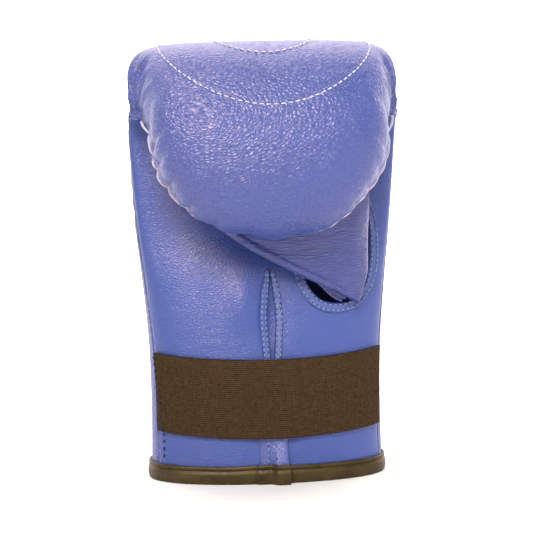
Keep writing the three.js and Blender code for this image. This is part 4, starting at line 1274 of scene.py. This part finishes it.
def stitches(name, runs, material, radius):
    """runs: dicts of line (points in mm), normal, pitch and share of the pitch that shows.

    With a phase, what is made lies between the stitches, and there is one less of it."""
    rings, sides = 7, 6
    place = np.linspace(-1, 1, rings)
    taper = np.sqrt(1 - 0.92 * place**6)
    around = np.linspace(0, 2 * math.pi, sides, endpoint=False)
    vertices, uvs, faces = [], [], []
    for run in runs:
        line, normal = run["line"], run["normal"]
        length = distances(line)
        count = max(1, int(length[-1] / run["pitch"]))
        for k in range(count - (1 if "phase" in run else 0)):
            s = (k + 0.5 + run.get("phase", 0)) * length[-1] / count + place * run["pitch"] * run["share"] / 2
            centre = np.stack([np.interp(s, length, line[:, a]) for a in range(3)], 1)
            up = unit(np.stack([np.interp(s, length, normal[:, a]) for a in range(3)], 1))
            across = np.cross(up, unit(np.gradient(centre, axis=0)))
            lift = radius * (0.75 - 1.3 * place**4)
            centre = centre + up * lift[:, None]
            first = len(vertices) * rings * sides
            thick = (radius * taper)[:, None, None]
            ring = (
                centre[:, None]
                + across[:, None] * thick * np.cos(around)[None, :, None]
                + up[:, None] * thick * np.sin(around)[None, :, None]
            )
            vertices.append(ring.reshape(-1, 3))
            uvs.append(np.stack([np.repeat(place, sides), np.tile(np.arange(sides) / sides, rings)], 1))
            faces += tube_faces(first, rings, sides)
    obj = make_object(name, np.concatenate(vertices), faces, np.concatenate(uvs))
    return finish_piece(obj, material)


def palm_run(x, z, offset, pitch=2.7, share=0.7):
    x, z = np.asarray(x, float), np.asarray(z, float)
    line = palm_at(x, z, offset)
    normal = palm_at(x, z, np.asarray(offset) + 1.0) - line
    return dict(line=line, normal=normal, pitch=pitch, share=share)


ON_HEM = CLEARANCE + HEM_THICKNESS
runs = []
for margin in (1.1, 3.9):
    runs.append(palm_run(*thumb_outline(turn, margin), ON_HEM))
z = np.linspace(BAND_TOP - 2, HEM_TOP - 1, 60)
for inset in (0.22, 0.85):
    for x in (left_edge(z) - inset * hem_width(z), right_edge(z) + inset * hem_width(z)):
        runs.append(palm_run(x, z, ON_HEM))
z = np.linspace(BINDING_HEIGHT + 1, BAND_BOTTOM - 1, 30)
for x0 in (-2.2, 1.8):
    x = np.full_like(z, x0)
    runs.append(palm_run(x, z, ON_HEM + flap_lift(x, z)))
stitches("hem_stitching", runs, BLUE_THREAD, 0.42)
# Painted shade: dark dots between the stitches, where the thread sinks into its holes
stitches("needle_hole_shade", [dict(run, phase=0.5, share=0.22) for run in runs], DARK_THREAD_AND_HOLE_SHADE, 0.24)

# The elastic's left end and the seam below it, in dark thread
t = np.linspace(0.5, 3.9, 80)
s = Section(t)
x = lerp(2.4, 0.7, ease(s.axis_z, BAND_BOTTOM, BAND_TOP)) - palm_edge(t)
z = palm_row(x, t)[1]
keep = s.axis_z > BINDING_HEIGHT + 2
in_band = (z > BAND_BOTTOM + BAND_RISE - 1) & (z < BAND_TOP + BAND_RISE)
offset = np.where(in_band, CLEARANCE + BAND_THICKNESS, 0.0)
runs = [
    palm_run(x[part], z[part], offset[part], 3.2, 0.6)
    for part in (keep & (z < BAND_BOTTOM + BAND_RISE), keep & in_band)
]
stitches("seam_stitching", runs, DARK_THREAD_AND_HOLE_SHADE, 0.5)

# Two white rings over the top of the pad
SHELL_TREE = BVHTree.FromPolygons(
    [Vector(v) for v in to_row(OUTER.reshape(-1, 3))], grid_faces(*OUTER.shape[:2]).tolist()
)
crown_t = np.linspace(HAND_END, FINGER_END, 600)
crown = Section(crown_t)
crown_line = crown.point(np.zeros_like(crown_t), crown.depth)
crown_length = distances(crown_line)
top = crown_length[np.argmax(crown_line[:, 2])]
RINGS = table("centre radius", (9, 54), (2, 25))
INSIDE_FIST = np.array([0, 0.012, 0.17])


def on_crown(x, s):
    t = np.interp(top + s, crown_length, crown_t)
    part = Section(t)
    return part.point(x, part.depth * crown_share(np.abs(x) / part.half, part.power))


runs = []
for ring in RINGS:
    phi = np.linspace(0, 2 * math.pi, 240)
    line = on_crown(ring["radius"] * np.sin(phi), ring["centre"] + ring["radius"] * np.cos(phi))
    hits = [SHELL_TREE.find_nearest(Vector(p)) for p in to_row(line)]
    line = np.array([h[0] for h in hits]) * MM - SHIFT
    normal = np.array([h[1] for h in hits])
    outward = to_row(line) - INSIDE_FIST
    normal = normal * np.sign(np.sum(normal * outward, axis=1, keepdims=True))
    runs.append(dict(line=line, normal=normal, pitch=3.6, share=0.72))
stitches("ring_stitching", runs, WHITE_THREAD, 0.42)

# ---- Raw edge of the pad's seam: pale partly as its own backing and partly as painted highlight, and drawn only at the left and right, where it catches the light
crook_row = CROOK_ROW + 5
rim, rim_in = (
    np.concatenate([grid[crook_row:, 0], grid[-1, 1:-1], grid[crook_row:, -1][::-1]])
    for grid in (OUTER, INNER)
)
edge_normal = unit(rim - rim_in)
stands_out = lerp(1.5, 2.1, ease(rim[:, :1], -20, 20))
rim = rim + edge_normal * stands_out
EDGE_TALL = 0.75
EDGE_THICK = 0.4
around = np.linspace(0, 2 * math.pi, 8, endpoint=False)
vertices, faces = [], []
# Only the left and right pieces, where the painted highlight shows
for piece in (rim[:, 0] < -24, rim[:, 0] > 14):
    line, out = rim[piece], edge_normal[piece]
    side = np.cross(unit(np.gradient(line, axis=0), 1e-9), out)
    step = np.arange(len(line))
    fade = ease(np.minimum(step, step[::-1]), -2, 16)[:, None, None]
    ring = (
        EDGE_TALL * out[:, None] * np.cos(around)[None, :, None]
        + EDGE_THICK * side[:, None] * np.sin(around)[None, :, None]
    )
    faces += tube_faces(sum(len(v) for v in vertices), len(line), len(around))
    vertices.append((line[:, None] + fade * ring).reshape(-1, 3))
edge = make_object("pad_edge", np.concatenate(vertices), faces)
finish_piece(edge, EDGE_HIGHLIGHT_VINYL)

# ---- Stage, light and camera
middle = (Vector(CAD_LOW) + Vector(CAD_HIGH)) / 2


def stage_material(name, colour, glow, near_glow=None):
    """A matt white that glows, so that it stays white. near_glow is its glow in front of the glove."""
    material, tree, shader = nodes_of(name)
    if near_glow is not None:
        coords = add(tree, "TexCoord").outputs["Object"]
        place = add(tree, "SeparateXYZ", {"Vector": coords}).outputs["Y"]
        glow = spread(tree, place, 0.1, 0.5, near_glow, glow)
    colour = (*colour, 1)
    plug(tree, shader, {"Base Color": colour, "Emission Color": colour})
    plug(tree, shader, {"Roughness": 0.9, "Emission Strength": glow})
    return material


def plane(name, size, location, rotation, material):
    bpy.ops.mesh.primitive_plane_add(size=size, location=location, rotation=rotation)
    obj = bpy.context.object
    obj.name = name
    obj.data.materials.append(material)
    return obj


FLOOR_WHITE = stage_material("floor_white", (0.80, 0.79, 0.76), 2.4, 0.15)
BACKDROP_WHITE = stage_material("backdrop_white", (0.9, 0.9, 0.885), 2.0)
plane("floor", 8, (0, 0, 0), (0, 0, 0), FLOOR_WHITE)
plane("backdrop", 8, (0, 2.2, 2), (math.radians(90), 0, 0), BACKDROP_WHITE)


def softbox(name, location, size, power, colour):
    data = bpy.data.lights.new(name, "AREA")
    data.shape = "RECTANGLE"
    data.size, data.size_y = size
    data.energy = power
    data.color = colour
    obj = bpy.data.objects.new(name, data)
    bpy.context.scene.collection.objects.link(obj)
    obj.location = location
    obj.rotation_mode = "QUATERNION"
    obj.rotation_quaternion = (middle - Vector(location)).to_track_quat("-Z", "Y")
    return obj


softbox("key", (-0.2, -1.02, 1.08), (0.6, 0.6), 20, (1, 0.97, 0.96))
softbox("fill", (0.95, -0.6, 0.4), (0.4, 0.6), 3, (1, 0.9, 0.86))
softbox("top", (0.0, 0.55, 0.8), (1.1, 0.35), 5.5, (1, 0.78, 0.76))
softbox("rim_left", (-0.75, 0.45, 0.42), (0.3, 0.6), 1, (1, 0.8, 0.75))
# The window shows only in highlights
window = softbox("window", (-0.66, -0.98, 0.98), (0.45, 0.45), 24, (1, 0.86, 0.86))
window.visible_diffuse = False
softbox("rim_right", (0.75, 0.45, 0.42), (0.3, 0.6), 2.6, (1, 0.8, 0.75))

world = bpy.data.worlds.new("studio")
bpy.context.scene.world = world
world.use_nodes = True
plug(world.node_tree, world.node_tree.nodes["Background"], {"Color": (1, 1, 0.99, 1), "Strength": 0.16})

# The picture is square, and the lens and the shifts are in its pixels
PICTURE = 533
LENS = 2015
SHIFT_RIGHT, SHIFT_UP = 0.5, -4.7
SENSOR = 36
CAMERA_AZIMUTH = -5.5
CAMERA_ELEVATION = 6
CAMERA_DISTANCE = 1.05
CAMERA_ROLL = 1.1
data = bpy.data.cameras.new("camera")
data.sensor_width = SENSOR
data.lens = SENSOR * (LENS / PICTURE)
camera = bpy.data.objects.new("camera", data)
bpy.context.scene.collection.objects.link(camera)
a, e = math.radians(CAMERA_AZIMUTH), math.radians(CAMERA_ELEVATION)
back = Vector((math.sin(a) * math.cos(e), -math.cos(a) * math.cos(e), math.sin(e)))
camera.location = middle + back * CAMERA_DISTANCE
camera.rotation_mode = "QUATERNION"
look = (-back).to_track_quat("-Z", "Y")
camera.rotation_quaternion = look @ Matrix.Rotation(math.radians(-CAMERA_ROLL), 4, "Z").to_quaternion()
data.shift_x = SHIFT_RIGHT / PICTURE
data.shift_y = SHIFT_UP / PICTURE
bpy.context.scene.camera = camera
bpy.context.scene.view_settings.view_transform = "Standard"
